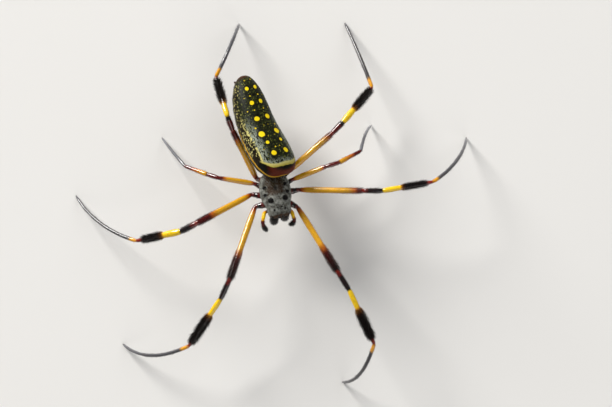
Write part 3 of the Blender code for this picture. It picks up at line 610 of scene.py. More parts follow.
def carapace_marks(paint, looks):
    """Silver over brown skin, with bare black spots; places in mm are in the prosoma's frame."""
    place = paint.place("shell_place")
    x, y, z = paint.split(place)
    side = paint.sum("ABSOLUTE", x)
    # Down in clumps and in strands that run out from the pit
    clumps = paint.noise(place, 1.5, 3.0, 0.6)
    back = paint.minus(FOVEA_AT, y)
    spokes = paint.join_up(paint.times(paint.sum("ARCTAN2", x, back), 3.4),
                           paint.times(paint.away(x, y, 0.0, FOVEA_AT), 0.55), 0.0)
    strands = paint.noise(spokes, 2.4, 3.0, 0.65)
    thin = paint.times(paint.fade(y, 0.7, -0.6), paint.fade(side, 2.5, 1.3))
    bald = paint.plus(paint.times(thin, 0.16), clumps)
    cover = paint.fade(paint.plus(bald, paint.times(strands, 0.85)), 1.06, 0.8)
    under = paint.mix(thin, looks.thorax, BALD_BROWN)
    shade = paint.mix(cover, under, looks.silver)
    stained = paint.times(paint.fade(paint.noise(place, 0.8, 2.0), 0.48, 0.68), 0.6)
    shade = paint.mix(stained, shade, STAINED_DOWN)
    # Bare spots and the pit
    for across, forward, radius in BARE_SPOTS:
        off = paint.away(side, y, across, forward)
        off = paint.plus(off, paint.times(paint.minus(clumps, 0.5), 0.3))
        shade = paint.mix(paint.fade(off, radius * 1.15, radius * 0.85), shade, looks.bare)
    pit = paint.fade(paint.away(x, paint.times(y, 0.6), 0.0, 0.6 * FOVEA_AT), 0.5, 0.15)
    shade = paint.mix(paint.times(pit, 0.8), shade, looks.bare)
    # Brown brow with a bare ring round each eye
    face = paint.fade(paint.plus(y, paint.times(clumps, 0.5)), 4.5, 4.8)
    brow = paint.fade(paint.plus(z, paint.times(clumps, 0.5)), 1.35, 0.85)
    shade = paint.mix(face, shade, paint.mix(brow, looks.brow, looks.jaw))
    for centre, radius in eye_centres().values():
        off = paint.away(x, z, centre.x, centre.z)
        shade = paint.mix(paint.times(paint.fade(off, radius * 1.35, radius * 1.15), face), shade, looks.bare)
    shade = paint.mix(paint.fade(paint.fact("rim"), 0.35, 0.8), shade, looks.bare)
    return shade, face, paint.plus(strands, paint.times(clumps, 0.6))


def carapace_paint(looks):
    paint = Paint("silver_down", 0.6, specular_ior_level=0.08)
    shade, _, relief = carapace_marks(paint, looks)
    paint.bump(relief, 0.5, 0.00008)
    return paint.finish(shade)


def down_paint(looks):
    """Silver hairs that carry the marks of the skin below them, darker on the face."""
    paint = Paint("silver_hair", 0.5, specular_ior_level=0.15)
    shade, face, _ = carapace_marks(paint, looks)
    lift = paint.plus(paint.times(paint.fact("hair_tone"), 0.6), 0.1)
    lift = paint.times(lift, paint.minus(1.0, paint.times(face, 0.75)))
    return paint.finish(paint.mix(lift, shade, looks.silver_hair))


# Yellow spots of the back: across and along in mm, and size against the largest
SPOTS = ((1.47, 4.26, 0.88), (1.62, 6.93, 0.58), (1.84, 9.15, 1.0), (2.35, 10.9, 0.26), (1.29, 12.9, 0.86),
         (1.1, 14.9, 0.22), (1.06, 16.63, 0.76), (0.95, 18.3, 0.24), (1.03, 20.2, 0.66), (0.5, 5.5, 0.2),
         (2.5, 15.1, 0.18))
DIM_SPOTS = ((0.72, 22.3, 0.3), (0.75, 8.3, 0.2), (2.2, 18.2, 0.2), (0.5, 11.0, 0.18), (2.9, 5.7, 0.2))


def abdomen_marks(paint, looks):
    """The abdomen's markings; places in mm are across, along from the front, and up."""
    place = paint.place("hide_place")
    x, y, z = paint.split(place)
    # How far a place is behind the front band and inside the side line of the back
    wander = paint.minus(paint.noise(place, 1.3, 3.0, 0.6), 0.5)
    side = paint.sum("ABSOLUTE", x)
    front = paint.plus(1.45, paint.times(paint.sum("POWER", paint.sum("DIVIDE", side, 3.9), 4.0), 1.88))
    past = paint.plus(paint.minus(y, front), paint.times(wander, 0.4))
    limit = paint.minus(3.95, paint.times(y, 0.02))
    limit = paint.minus(limit, paint.times(paint.fade(y, 16.5, 24.0), 1.5))
    inward = paint.minus(paint.plus(limit, paint.times(wander, 0.35)), side)
    on_back = paint.times(paint.fade(past, -0.1, 0.3), paint.fade(inward, -0.15, 0.15),
                          paint.fade(z, -2.0, -1.2))

    # Olive mottling and green-yellow freckles of the back
    grain = paint.noise(place, 3.4, 4.0, 0.65)
    streaks = paint.noise(paint.stretch(place, (1.0, 0.35, 1.0)), 3.6, 3.0, 0.65)
    shade = paint.mix(paint.fade(grain, 0.46, 0.62), looks.night, looks.olive)
    near_dot, pick = paint.cells(place, 2.6)
    dots = paint.times(paint.fade(near_dot, 0.42, 0.2), paint.fade(pick, 0.4, 0.75))
    shade = paint.mix(paint.times(dots, 0.75), shade, looks.freckle)

    # Grey-white haze behind the band
    lead = paint.times(paint.fade(past, 1.9, 0.2), 0.85)
    mist = paint.sum("MAXIMUM", lead, paint.times(paint.fade(inward, 2.0, 0.2), paint.fade(y, 15.5, 8.0)))
    mist = paint.times(mist, paint.fade(paint.plus(streaks, paint.times(grain, 0.5)), 0.69, 0.8), on_back)
    shade = paint.mix(mist, shade, looks.haze)

    # Yellow spots, each with a dark edge
    big = looks.spot_radius / MM
    spots = [(*spot, 1.0) for spot in SPOTS] + [(*spot, 0.45) for spot in DIM_SPOTS]
    for across, along, share, strength in spots:
        off = paint.away(side, paint.times(y, 0.92), across, 0.92 * along)
        off = paint.plus(off, paint.times(wander, 0.4 * share))
        radius = big * share
        shade = paint.mix(paint.times(paint.fade(off, radius * 1.8, radius * 1.2), 0.85), shade, looks.night)
        inside = paint.times(paint.fade(off, radius * 1.1, radius * 0.85), strength)
        shade = paint.mix(inside, shade, looks.spot)

    # Brown flanks with short pale dashes, thinning out low down
    flank = paint.mix(paint.fade(grain, 0.42, 0.62), looks.night, looks.flank)
    near_dash, chance = paint.cells(paint.stretch(place, (1.0, 0.5, 1.0)), 3.3)
    dashes = paint.times(paint.fade(near_dash, 0.4, 0.26), paint.fade(chance, 0.3, 0.45))
    dashes = paint.times(dashes, paint.fade(inward, 0.7, 0.0), paint.fade(past, 0.1, 1.2))
    low = paint.minus(-0.03, paint.times(y, 0.165))
    above = paint.minus(z, low)
    dashes = paint.times(dashes, paint.fade(above, -3.2, -1.0))
    flank = paint.mix(dashes, flank, looks.fleck)
    shade = paint.mix(on_back, flank, shade)
    shade = paint.mix(paint.times(dashes, paint.fade(inward, 0.8, 0.2), 0.8), shade, looks.fleck)

    # Red-brown front face below the band
    ahead = paint.fade(past, -0.1, -0.5)
    glow = paint.times(paint.fade(paint.plus(z, wander), 3.0, 1.8), paint.fade(side, 3.8, 2.6))
    apron = paint.mix(glow, looks.night, looks.rust)
    shade = paint.mix(paint.times(ahead, paint.fade(y, 4.6, 3.2), paint.fade(above, -0.2, 0.1)), shade, apron)

    # Orange line low round the front, and the pale broken line along the side
    ragged = paint.times(wander, 0.3)
    hem = paint.times(paint.near(paint.plus(above, ragged), 0.0, 0.24), paint.fade(y, 14.0, 9.0))
    shade = paint.mix(hem, shade, looks.hem)
    links = paint.fade(paint.noise(paint.stretch(place, (0.6, 1.0, 0.6)), 1.9, 2.0), 0.46, 0.54)
    links = paint.sum("MAXIMUM", links, paint.fade(y, 7.0, 4.5))
    trim = paint.times(paint.near(inward, 0.0, 0.12), paint.fade(y, 16.0, 10.0),
                       paint.fade(past, 0.0, 0.4), links)
    shade = paint.mix(trim, shade, looks.fleck)
    # Cream band, narrower at its sides
    slim = paint.minus(1.0, paint.times(paint.fade(side, 2.4, 4.0), 0.45))
    half = paint.times(slim, looks.band_width / MM / 2)
    band = paint.times(paint.near(paint.sum("DIVIDE", past, half), 0.0, 1.0, 0.3),
                       paint.fade(inward, -0.35, -0.1))
    cream = paint.mix(paint.fade(past, -0.25, 0.3), looks.cream, looks.fleck)
    shade = paint.mix(band, shade, cream)
    # Red-brown tip and the faint marks of the belly
    tail = paint.times(paint.fade(paint.plus(y, wander), 22.6, 24.0), paint.fade(grain, 0.7, 0.45), 0.6)
    shade = paint.mix(tail, shade, looks.rust)
    belly = paint.times(paint.fade(above, -1.2, -3.0), paint.fade(grain, 0.52, 0.7), 0.5)
    shade = paint.mix(belly, shade, BELLY_MARKS)
    return shade, paint.plus(grain, paint.times(near_dot, 0.5))


def abdomen_paint(looks):
    paint = Paint("abdomen_markings", 0.5, specular_ior_level=0.12)
    shade, relief = abdomen_marks(paint, looks)
    paint.bump(relief, 0.35, 0.00006)
    return paint.finish(shade)


def hide_hair_paint(looks):
    """Fine hairs in the markings' own colours, a few of them pale."""
    paint = Paint("hide_hair", 0.5, specular_ior_level=0.15)
    shade, _ = abdomen_marks(paint, looks)
    lift = paint.times(paint.fade(paint.fact("hair_tone"), 0.6, 1.0), 0.35)
    return paint.finish(paint.mix(lift, shade, looks.silver_hair))


def leg_marks(paint, looks, key):
    """Bands along a leg, with painted light and shade on the foot; its fact leg_along counts pieces from 0 at
    the hip to 5 at the tip.
    """
    along = paint.fact("leg_along")
    wander = paint.minus(paint.noise(paint.coords(), 900.0, 2.0), 0.5)
    reach = paint.times(paint.plus(along, paint.times(wander, 0.05)), 0.2)
    red, black, joint, yellow = looks.dark_red, looks.black, looks.joint, looks.yellow
    femur, edge, orange = looks.femur, looks.femur_edge, looks.orange
    # The foot's colour is scaled by its painted light and shade, and the tip is painted paler than the base:
    # partly the foot's own grey, partly painted highlight
    foot, tip = (tuple(part * FOOT_PAINTED_LIGHT[key] * more for part in looks.foot) for more in (0.75, 1.5))
    dark, knee, ring, cuff, base = LEG_MARKS[key]
    bands = [(0.0, red), (0.5, red), (0.62, black), (0.78, black), (0.88, red), (1.02, red), (1.07, edge),
             (1.13, femur), (dark - 0.1, femur), (dark, edge), (dark + 0.05, red)]
    if key[1] == "3":
        bands += [(3.02, red), (3.08, femur), (ring, edge), (ring + 0.17, red), (3.98, red), (4.02, foot)]
    else:
        far = black if key[1] == "1" else red
        bands += [(1.975, far), (1.99, joint), (2.04, joint), (2.08, red), (knee, red), (knee + 0.12, black),
                  (2.99, black), (3.03, yellow), (ring - 0.03, yellow), (ring, orange), (ring + 0.035, red),
                  (ring + 0.07, black), (cuff - 0.05, black), (cuff - 0.01, red), (cuff + 0.02, joint),
                  (3.99, joint), (4.02, orange), (base, orange), (base + 0.03, foot)]
    bands += [(4.55, foot), (5.0, tip)]
    return along, paint.ramp(reach, [(stop / 5.0, tone) for stop, tone in bands])


def leg_paint(looks, key):
    """Smooth shell with a thin clear gloss, duller on the foot."""
    paint = Paint(f"leg_bands_{key}", looks.gloss, specular_ior_level=0.3, coat_weight=1.0,
                  coat_roughness=0.12)
    along, shade = leg_marks(paint, looks, key)
    place = paint.coords()
    mottle = paint.noise(place, 2600.0, 3.0, 0.6)
    shade = paint.mix(paint.times(paint.fade(mottle, 0.42, 0.75), 0.3), shade, looks.dark_red)
    pores = paint.cells(place, 7000.0)[0]
    paint.bump(paint.plus(mottle, paint.times(pores, 0.5)), 0.25, 0.00003)
    dull = paint.plus(looks.gloss, paint.times(paint.fade(along, 4.0, 4.1), 0.2))
    return paint.finish(shade, dull)


def bristle_paint(looks, key):
    """Bristles in the bands' colours, the foot's painted light and shade included, much darkened."""
    paint = Paint(f"leg_bristles_{key}", 0.45, specular_ior_level=0.3)
    _, shade = leg_marks(paint, looks, key)
    depth = paint.plus(paint.times(paint.fact("hair_tone"), 0.3), 0.5)
    return paint.finish(paint.mix(depth, shade, BRISTLE_BLACK))


def palp_marks(paint, looks):
    along = paint.fact("palp_along")
    place = paint.coords()
    wander = paint.times(paint.minus(paint.noise(place, 1200.0, 2.0), 0.5), 0.04)
    return paint.ramp(paint.plus(along, wander), [
        (0.0, looks.dark_red), (0.2, looks.dark_red), (0.24, looks.femur_edge), (0.3, looks.femur),
        (0.46, looks.yellow), (0.52, looks.orange), (0.56, looks.dark_red), (0.68, looks.dark_red),
        (0.74, looks.black), (1.0, looks.black)])


def palp_paint(looks):
    paint = Paint("palp_bands", 0.35, specular_ior_level=0.3)
    paint.bump(paint.noise(paint.coords(), 3200.0, 3.0, 0.6), 0.25, 0.00003)
    return paint.finish(palp_marks(paint, looks))


def palp_hair_paint(looks):
    paint = Paint("palp_hair", 0.45, specular_ior_level=0.3)
    return paint.finish(paint.mix(0.7, palp_marks(paint, looks), BRISTLE_BLACK))


def shell_paint(name, tone, roughness, streak, coat=0.3):
    """Glossy dark shell with fine pores and lighter worn streaks."""
    paint = Paint(name, roughness, specular_ior_level=0.08, coat_weight=coat, coat_roughness=0.12)
    place = paint.coords()
    streaks = paint.noise(paint.stretch(place, (1.0, 1.0, 0.35)), 1500.0, 3.0, 0.6)
    shade = paint.mix(paint.times(paint.fade(streaks, 0.5, 0.8), 0.7), tone, streak)
    paint.bump(paint.plus(streaks, paint.cells(place, 6000.0)[0]), 0.2, 0.00003)
    return paint.finish(shade)


def sternum_paint(looks):
    paint = Paint("sternum_plate", 0.45)
    place = paint.place("shell_place")
    x, y, z = paint.split(place)
    blur = paint.noise(place, 1.4, 3.0, 0.6)
    shade = paint.mix(paint.fade(blur, 0.4, 0.7), looks.sternum, looks.rust)
    centre = paint.times(paint.near(paint.plus(y, paint.times(blur, 0.8)), 0.4, 1.5, 0.5),
                         paint.fade(paint.sum("ABSOLUTE", x), 1.35, 0.9), paint.fade(z, -1.5, -1.8))
    shade = paint.mix(centre, shade, looks.sternum_band)
    paint.bump(paint.plus(blur, paint.cells(place, 6.0)[0]), 0.3, 0.00005)
    return paint.finish(shade)


EYE_GLOW = (0.02, 0.012, 0.008)


def eye_paint(looks):
    paint = Paint("eye_lens", 0.06, coat_weight=1.0, coat_roughness=0.03)
    glow = paint.noise(paint.coords(), 3000.0, 1.0)
    return paint.finish(paint.mix(paint.times(glow, 0.4), looks.eye, EYE_GLOW), None)


def hair_paint(name, dark, light, share):
    """Hair whose tone differs a little from one to the next; share of it is paler than the rest."""
    paint = Paint(name, 0.5, specular_ior_level=0.15)
    tone = paint.fact("hair_tone")
    return paint.finish(paint.mix(paint.fade(tone, 1.0 - share, 1.0), dark, light))


# Coat

def coat_tree(name, spans):
    """Scatters bent tapered hairs over a skin.

    The skin's own facts steer them: hair_amount is a share of the density, hair_length a length in metres,
    and lie the direction they point along the skin.
    """
    tree = bpy.data.node_groups.new(name, "GeometryNodeTree")
    face = tree.interface
    face.new_socket("Geometry", in_out="INPUT", socket_type="NodeSocketGeometry")
    for label, value in (("Density", 1.0e6), ("Thickness", 0.03), ("Lean", 0.6), ("Lean spread", 0.2),
                         ("Sideways spread", 0.25), ("Droop", 0.25), ("Patch", PATCH)):
        face.new_socket(label, in_out="INPUT", socket_type="NodeSocketFloat").default_value = value
    face.new_socket("Seed", in_out="INPUT", socket_type="NodeSocketInt").default_value = 1
    face.new_socket("Material", in_out="INPUT", socket_type="NodeSocketMaterial")
    face.new_socket("Geometry", in_out="OUTPUT", socket_type="NodeSocketGeometry")
    nodes, links = tree.nodes, tree.links

    def add(kind, **settings):
        made = nodes.new(kind)
        for label, value in settings.items():
            setattr(made, label, value)
        return made

    def feed(socket, value):
        if isinstance(value, bpy.types.NodeSocket):
            links.new(value, socket)
        else:
            socket.default_value = value

    def read(label, kind):
        made = add("GeometryNodeInputNamedAttribute", data_type=kind)
        made.inputs["Name"].default_value = label
        return made.outputs["Attribute"]

    def number(operation, first, second=0.0):
        made = add("ShaderNodeMath", operation=operation)
        feed(made.inputs[0], first)
        feed(made.inputs[1], second)
        return made.outputs[0]

    def vector(operation, first, second=None, scale=None):
        made = add("ShaderNodeVectorMath", operation=operation)
        feed(made.inputs[0], first)
        if second is not None:
            feed(made.inputs[1], second)
        if scale is not None:
            feed(made.inputs["Scale"], scale)
        return made.outputs["Vector"]

    def chance(low, high, salt):
        made = add("FunctionNodeRandomValue", data_type="FLOAT")
        made.inputs["Min"].default_value = low
        made.inputs["Max"].default_value = high
        feed(made.inputs["Seed"], number("ADD", start.outputs["Seed"], float(salt)))
        return made.outputs["Value"]

    def keep(geometry, label, value, kind, domain):
        made = add("GeometryNodeStoreNamedAttribute", data_type=kind, domain=domain)
        feed(made.inputs["Geometry"], geometry)
        made.inputs["Name"].default_value = label
        feed(made.inputs["Value"], value)
        return made.outputs[0]

    start = add("NodeGroupInput")
    end = add("NodeGroupOutput")
    scatter = add("GeometryNodeDistributePointsOnFaces", distribute_method="RANDOM")
    feed(scatter.inputs["Mesh"], start.outputs["Geometry"])
    density = number("MULTIPLY", start.outputs["Density"], read("hair_amount", "FLOAT"))
    feed(scatter.inputs["Density"], density)
    feed(scatter.inputs["Seed"], start.outputs["Seed"])

    hair = add("GeometryNodeMeshCone", fill_type="NGON")
    hair.inputs["Vertices"].default_value = 3
    hair.inputs["Side Segments"].default_value = spans
    feed(hair.inputs["Radius Bottom"], start.outputs["Thickness"])
    hair.inputs["Radius Top"].default_value = 0.0
    hair.inputs["Depth"].default_value = 1.0
    spot = add("ShaderNodeSeparateXYZ")
    feed(spot.inputs[0], add("GeometryNodeInputPosition").outputs[0])
    slim_x = number("DIVIDE", spot.outputs[0], start.outputs["Thickness"])
    slim_y = number("DIVIDE", spot.outputs[1], start.outputs["Thickness"])
    u = number("ADD", number("MULTIPLY", slim_x, 0.24), number("MULTIPLY", slim_y, 0.32))
    v = number("ADD", number("MULTIPLY", number("SUBTRACT", slim_y, slim_x), 0.06),
               number("MULTIPLY", number("SUBTRACT", spot.outputs[2], 0.5), 0.8))
    hair_uv = add("ShaderNodeCombineXYZ")
    feed(hair_uv.inputs[0], u)
    feed(hair_uv.inputs[1], v)
    template = keep(hair.outputs["Mesh"], "hair_uv", hair_uv.outputs[0], "FLOAT_VECTOR", "POINT")
    bend = add("ShaderNodeCombineXYZ")
    squared = number("MULTIPLY", spot.outputs[2], spot.outputs[2])
    feed(bend.inputs[0], number("MULTIPLY", number("MULTIPLY", squared, start.outputs["Droop"]), -1.0))
    bent = add("GeometryNodeSetPosition")
    feed(bent.inputs["Geometry"], template)
    feed(bent.inputs["Offset"], bend.outputs[0])

    normal, lie = scatter.outputs["Normal"], read("lie", "FLOAT_VECTOR")
    flat_lie = vector("NORMALIZE", vector("SUBTRACT", lie, vector("PROJECT", lie, normal)))
    across = vector("CROSS_PRODUCT", normal, flat_lie)
    tilt = number("MULTIPLY", chance(-1.0, 1.0, 1), start.outputs["Lean spread"])
    lean = number("ADD", start.outputs["Lean"], tilt)
    aim = vector("ADD", vector("SCALE", normal, scale=number("SINE", lean)),
                 vector("SCALE", flat_lie, scale=number("COSINE", lean)))
    stray = number("MULTIPLY", chance(-1.0, 1.0, 2), start.outputs["Sideways spread"])
    aim = vector("NORMALIZE", vector("ADD", aim, vector("SCALE", across, scale=stray)))
    stand = add("FunctionNodeAlignRotationToVector", axis="Z")
    feed(stand.inputs["Vector"], aim)
    turn = add("FunctionNodeAlignRotationToVector", axis="X", pivot_axis="Z")
    feed(turn.inputs["Rotation"], stand.outputs[0])
    feed(turn.inputs["Vector"], normal)

    points = keep(scatter.outputs["Points"], "root_uv", read("SkinUnwrap", "FLOAT_VECTOR"),
                  "FLOAT_VECTOR", "POINT")
    points = keep(points, "hair_tone", chance(0.0, 1.0, 3), "FLOAT", "POINT")
    grow = add("GeometryNodeInstanceOnPoints")
    feed(grow.inputs["Points"], points)
    feed(grow.inputs["Instance"], bent.outputs[0])
    feed(grow.inputs["Rotation"], turn.outputs[0])
    feed(grow.inputs["Scale"], number("MULTIPLY", read("hair_length", "FLOAT"), chance(0.72, 1.08, 4)))
    real = add("GeometryNodeRealizeInstances")
    feed(real.inputs[0], grow.outputs[0])
    patch = vector("ADD", read("root_uv", "FLOAT_VECTOR"),
                   vector("SCALE", read("hair_uv", "FLOAT_VECTOR"), scale=start.outputs["Patch"]))
    out = keep(real.outputs[0], "OFBake", patch, "FLOAT2", "CORNER")
    for label in ("hair_uv", "root_uv", "lie", "hair_amount", "hair_length", "SkinUnwrap", "UVMap"):
        drop = add("GeometryNodeRemoveAttribute")
        feed(drop.inputs["Geometry"], out)
        drop.inputs["Name"].default_value = label
        out = drop.outputs[0]
    finish = add("GeometryNodeSetMaterial")
    feed(finish.inputs["Geometry"], out)
    feed(finish.inputs["Material"], start.outputs["Material"])
    links.new(finish.outputs[0], end.inputs[0])
    return tree


SMALL_DENSITY = 60.0            # bristles on a square millimetre of the small parts
SMALL_THICKNESS = 0.035
DOWN_THICKNESS, DOWN_LEAN = 0.042, 0.3
HIDE_THICKNESS, HIDE_LEAN = 0.04, 0.6


def bristles(coat, density, thickness, seed):
    """Settings of stiff hair that stands out from a part."""
    return {"spans": 3, "seed": coat.seed + seed, "values": {
        "Density": density * 1e6, "Thickness": thickness, "Lean": 0.72, "Lean spread": 0.32,
        "Sideways spread": 0.3, "Droop": 0.2}}


def flat_hair(coat, density, thickness, lean, seed):
    """Settings of short hair that lies nearly flat."""
    return {"spans": 2, "seed": coat.seed + seed, "values": {
        "Density": density * 1e6, "Thickness": thickness, "Lean": lean, "Lean spread": 0.2,
        "Sideways spread": 0.4, "Droop": 0.12}}


def grow_coat(name, base, material, settings):
    """The coat of one skin as a plain mesh that rides with it."""
    spans = settings["spans"]
    tree = bpy.data.node_groups.get(f"coat_{spans}") or coat_tree(f"coat_{spans}", spans)
    holder = bpy.data.objects.new(name, bpy.data.objects[base].data.copy())
    bpy.context.scene.collection.objects.link(holder)
    step = holder.modifiers.new("Coat", "NODES")
    step.node_group = tree
    values = dict(settings["values"], Material=material, Seed=settings["seed"])
    for item in tree.interface.items_tree:
        if item.in_out == "INPUT" and item.name in values:
            step[item.identifier] = values[item.name]
    graph = bpy.context.evaluated_depsgraph_get()
    mesh = bpy.data.meshes.new_from_object(holder.evaluated_get(graph), depsgraph=graph)
    bpy.data.objects.remove(holder, do_unlink=True)
    mesh.name = name
    coat = bpy.data.objects.new(name, mesh)
    bpy.context.scene.collection.objects.link(coat)
    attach(coat, "root")
    return coat


# Prosoma

def carapace_top(x, y):
    """Height of the carapace above its rim at places of its plan, all in mm."""
    share = np.minimum(1.0, np.abs(x) / curve(y, CARAPACE_WIDTHS))
    dome = curve(y, CARAPACE_HEIGHTS) * (1 - share ** 2.3) ** (1 / 2.3)
    pit = 0.34 * np.exp(-((x / 0.75) ** 2) - ((y - FOVEA_AT) / 0.75) ** 2)
    spoke = np.arctan2(np.abs(x), y - FOVEA_AT)
    ribs = 0.07 * np.cos(spoke * 9.0) * np.exp(-((np.hypot(x, y - FOVEA_AT) - 1.9) / 0.9) ** 2)
    groove = np.exp(-(((y - 0.55 + 0.32 * np.abs(x)) / 0.3) ** 2))
    neck = 0.2 * groove * np.clip(share * 1.6, 0, 1) * (share < 1)
    horns = np.zeros_like(share)
    for side in (1, -1):
        away = np.hypot(x - side * HORN_AT[0], y - HORN_AT[1])
        horns += 0.55 * np.exp(-((away / 0.34) ** 2.4))
    return 0.15 + dome - pit + ribs - neck + horns


def eye_centres():
    """Middle in mm of the prosoma's frame, and radius, of each eye's solid."""
    inverse = PROSOMA.inverted()
    found = {}
    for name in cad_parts:
        if name.startswith("eye_"):
            low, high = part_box(name)
            found[name] = (inverse @ ((low + high) / 2) / MM, max(high - low) / 2 / MM)
    return found


def carapace_rows():
    """Rings of the carapace in mm, from its rear end over the face, with its rim tucked under."""
    rear, front = CARAPACE_ENDS
    middle, half = (front + rear) / 2, (front - rear) / 2
    stations, across = 96, 72
    rows, rims = [], []
    for step in range(stations + 1):
        y = middle - half * math.cos(math.pi * (0.5 + 0.985 * (step / stations - 0.5)))
        width = float(curve(y, CARAPACE_WIDTHS))
        x = width * np.cos(math.pi * np.arange(across + 1) / across)
        top = np.stack([x, np.full_like(x, y), carapace_top(x, np.full_like(x, y))], -1)
        under = [(share * width, y, height) for share, height in RIM_TUCK]
        rows.append(np.vstack([top, under]))
        edge = np.abs(np.concatenate([x, [row[0] for row in under]])) / width
        tucked = np.concatenate([np.zeros(across + 1), np.ones(len(RIM_TUCK))])
        rims.append(np.clip((edge - 0.955) / 0.045, 0, 1) + tucked)
    last = rows[-1]
    centre = np.array([0.0, last[0, 1], 0.95])
    for step in range(1, 22):
        part = step / 22
        ring = centre + (last - centre) * (1 - part)
        ring[:, 1] += 0.22 * (1 - (1 - part) ** 2)
        rows.append(ring)
        rims.append(rims[-1] * 0.6)
    rows, rims = np.array(rows), np.clip(np.array(rims), 0, 1)
    for place, radius in eye_centres().values():
        away = np.linalg.norm(rows[..., [0, 2]] - np.array([place[0], place[2]]), axis=-1)
        lump = np.exp(-((away / (radius * 1.75)) ** 2))
        rows[..., 1] += np.where(rows[..., 1] > 4.2, 0.16 * lump, 0.0)
    return rows, rims


def make_carapace(looks):
    rows, rims = carapace_rows()
    place = rows.copy()
    rows[..., 2] += 0.02 * ripple(rows, 0.45)
    across = np.abs(place[..., 0])
    face = np.clip((place[..., 1] - 4.35) / 0.3, 0, 1)
    brow = np.clip((place[..., 2] - 0.75) / 0.5, 0.2, 1)
    cover = np.where(place[..., 2] > 0.12, 1.0, 0.0) * (1 - face + face * brow)
    for centre, radius in eye_centres().values():
        off = np.linalg.norm(place - np.array(centre), axis=-1)
        cover *= np.clip((off - radius * 1.3) / 0.06, 0, 1)
    for x, y, radius in BARE_SPOTS:
        cover *= np.clip((np.hypot(across - x, place[..., 1] - y) - radius * 0.9) / 0.12, 0, 1)
    thin = np.clip((0.9 - place[..., 1]) / 2.0, 0, 1) * np.clip((2.7 - across) / 1.6, 0, 1)
    cover *= 1 - 0.65 * thin
    down = np.stack([0.15 * place[..., 0], face - 1.0, -0.05 - 0.9 * face], -1)
    lie = placed(down, PROSOMA) - placed(np.zeros(3), PROSOMA)
    facts = {"shell_place": place, "rim": rims, "hair_amount": cover, "lie": lie,
             "hair_length": (0.42 - 0.2 * face) * MM}
    shell = skin("carapace_shell", placed(rows, PROSOMA), facts)
    return dress(shell, carapace_paint(looks), ["carapace"])


def make_underbody(looks):
    """The plate between the legs with the soft side walls that carry the hips."""
    stations, around = 44, 40
    rows = []
    for step in range(stations + 1):
        part = 0.5 - 0.5 * math.cos(math.pi * (0.03 + 0.94 * step / stations))
        y = -4.5 + (3.4 + 4.5) * part
        width = float(curve(y, STERNUM_WIDTHS)) + 0.18
        close = (1 - abs(2 * part - 1) ** 5) ** 0.2
        angle = 2 * math.pi * np.arange(around) / around
        across = np.sign(np.cos(angle)) * np.abs(np.cos(angle)) ** 0.55
        up = np.sign(np.sin(angle)) * np.abs(np.sin(angle)) ** 0.55
        z = -0.92 + 1.02 * up * (0.4 + 0.6 * close)
        flare = 1 + 0.28 * np.clip(up, 0, 1)
        rows.append(np.stack([width * flare * close * across, np.full(around, y), z], -1))
    rows = np.array(rows)
    body = skin("underbody_plate", placed(rows, PROSOMA), {"shell_place": rows})
    lobes = []
    for side in (1, -1):
        route = through_points([(side * x, y, z) for x, y, z in MOUTH_LOBE], 18)
        points, radii, _ = rounded_ends(placed(route, PROSOMA), np.array(straight(
            np.linspace(0, 1, 18), ((0, 0.36), (0.5, 0.48), (1, 0.42)))) * MM)
        rings = sweep(points, radii, 14)
        local = np.array([[list((PROSOMA.inverted() @ Vector(p)) / MM) for p in ring] for ring in rings])
        lobes.append(skin(f"mouth_lobe_{side}", rings, {"shell_place": local}))
    body = join("underbody_plate", [body] + lobes)
    return dress(body, sternum_paint(looks), ["sternum"])


def make_eyes(looks):
    """Each eye is a lens a little wider than deep, seated in its ring."""
    material = eye_paint(looks)
    for name, (place, radius) in eye_centres().items():
        bm = bmesh.new()
        bmesh.ops.create_uvsphere(bm, u_segments=28, v_segments=18, radius=radius * 1.04 * MM)
        bmesh.ops.scale(bm, vec=(1.0, 0.92, 1.0), verts=bm.verts)
        bm.transform(PROSOMA @ Matrix.Translation(Vector(place) * MM))
        mesh = bpy.data.meshes.new(f"{name}_lens")
        bm.to_mesh(mesh)
        bm.free()
        dress(finished(f"{name}_lens", mesh), material, [name])


def make_jaws(looks):
    """Stout chelicerae with their fangs folded in."""
    shell = shell_paint("jaw_shell", looks.jaw, 0.32, looks.fang, 0.0)
    fang_shell = shell_paint("fang_shell", looks.fang, 0.16, (0.1, 0.03, 0.015), 0.6)
    for side, letter in ((1, "r"), (-1, "l")):
        base = np.array([CHELICERA_BASE[0] * side, CHELICERA_BASE[1], CHELICERA_BASE[2]])
        tip = np.array(CHELICERA_TIPS[letter])
        share = np.linspace(0, 1, 40)
        bulge = np.outer(np.sin(math.pi * share), np.array([0.0, 0.16, 0.06]))
        route = base - 0.25 * (tip - base) / 3.7 + np.outer(share, (tip - base) * 1.05) + bulge
        radii = curve(share, CHELICERA_SWELL) * MM
        points, radii, spread = rounded_ends(placed(route, PROSOMA), radii)
        rings = sweep(points, radii, 28, 0.92)
        along = np.repeat(spread[:, None], 28, 1)
        facts = {"hair_amount": np.clip(0.1 + (along - 0.2) * 1.5, 0.1, 1),
                 "hair_length": (0.35 + 0.4 * along) * MM,
                 "lie": np.repeat(tangents(points)[:, None], 28, 1)}
        jaw = skin(f"chelicera_{letter}_shell", rings, facts)
        dress(jaw, shell, [f"chelicera_{letter}"])
        direction = (tip - base) / np.linalg.norm(tip - base)
        inward = np.array([-0.25 * side, -0.95, 0.0])
        inward /= np.linalg.norm(inward)
        share = np.linspace(0, 1, 26)
        bend = np.radians(75) * share
        curl = direction[None] * np.cos(bend)[:, None] + inward[None] * np.sin(bend)[:, None]
        route = tip + 0.12 * direction + FANG_LENGTH * share[:, None] * curl
        radii = (0.31 * (1 - 0.86 * share ** 1.1)) * MM
        fang = skin(f"fang_{letter}_shell", sweep(placed(route, PROSOMA), radii, 14))
        dress(fang, fang_shell, [f"fang_{letter}"])


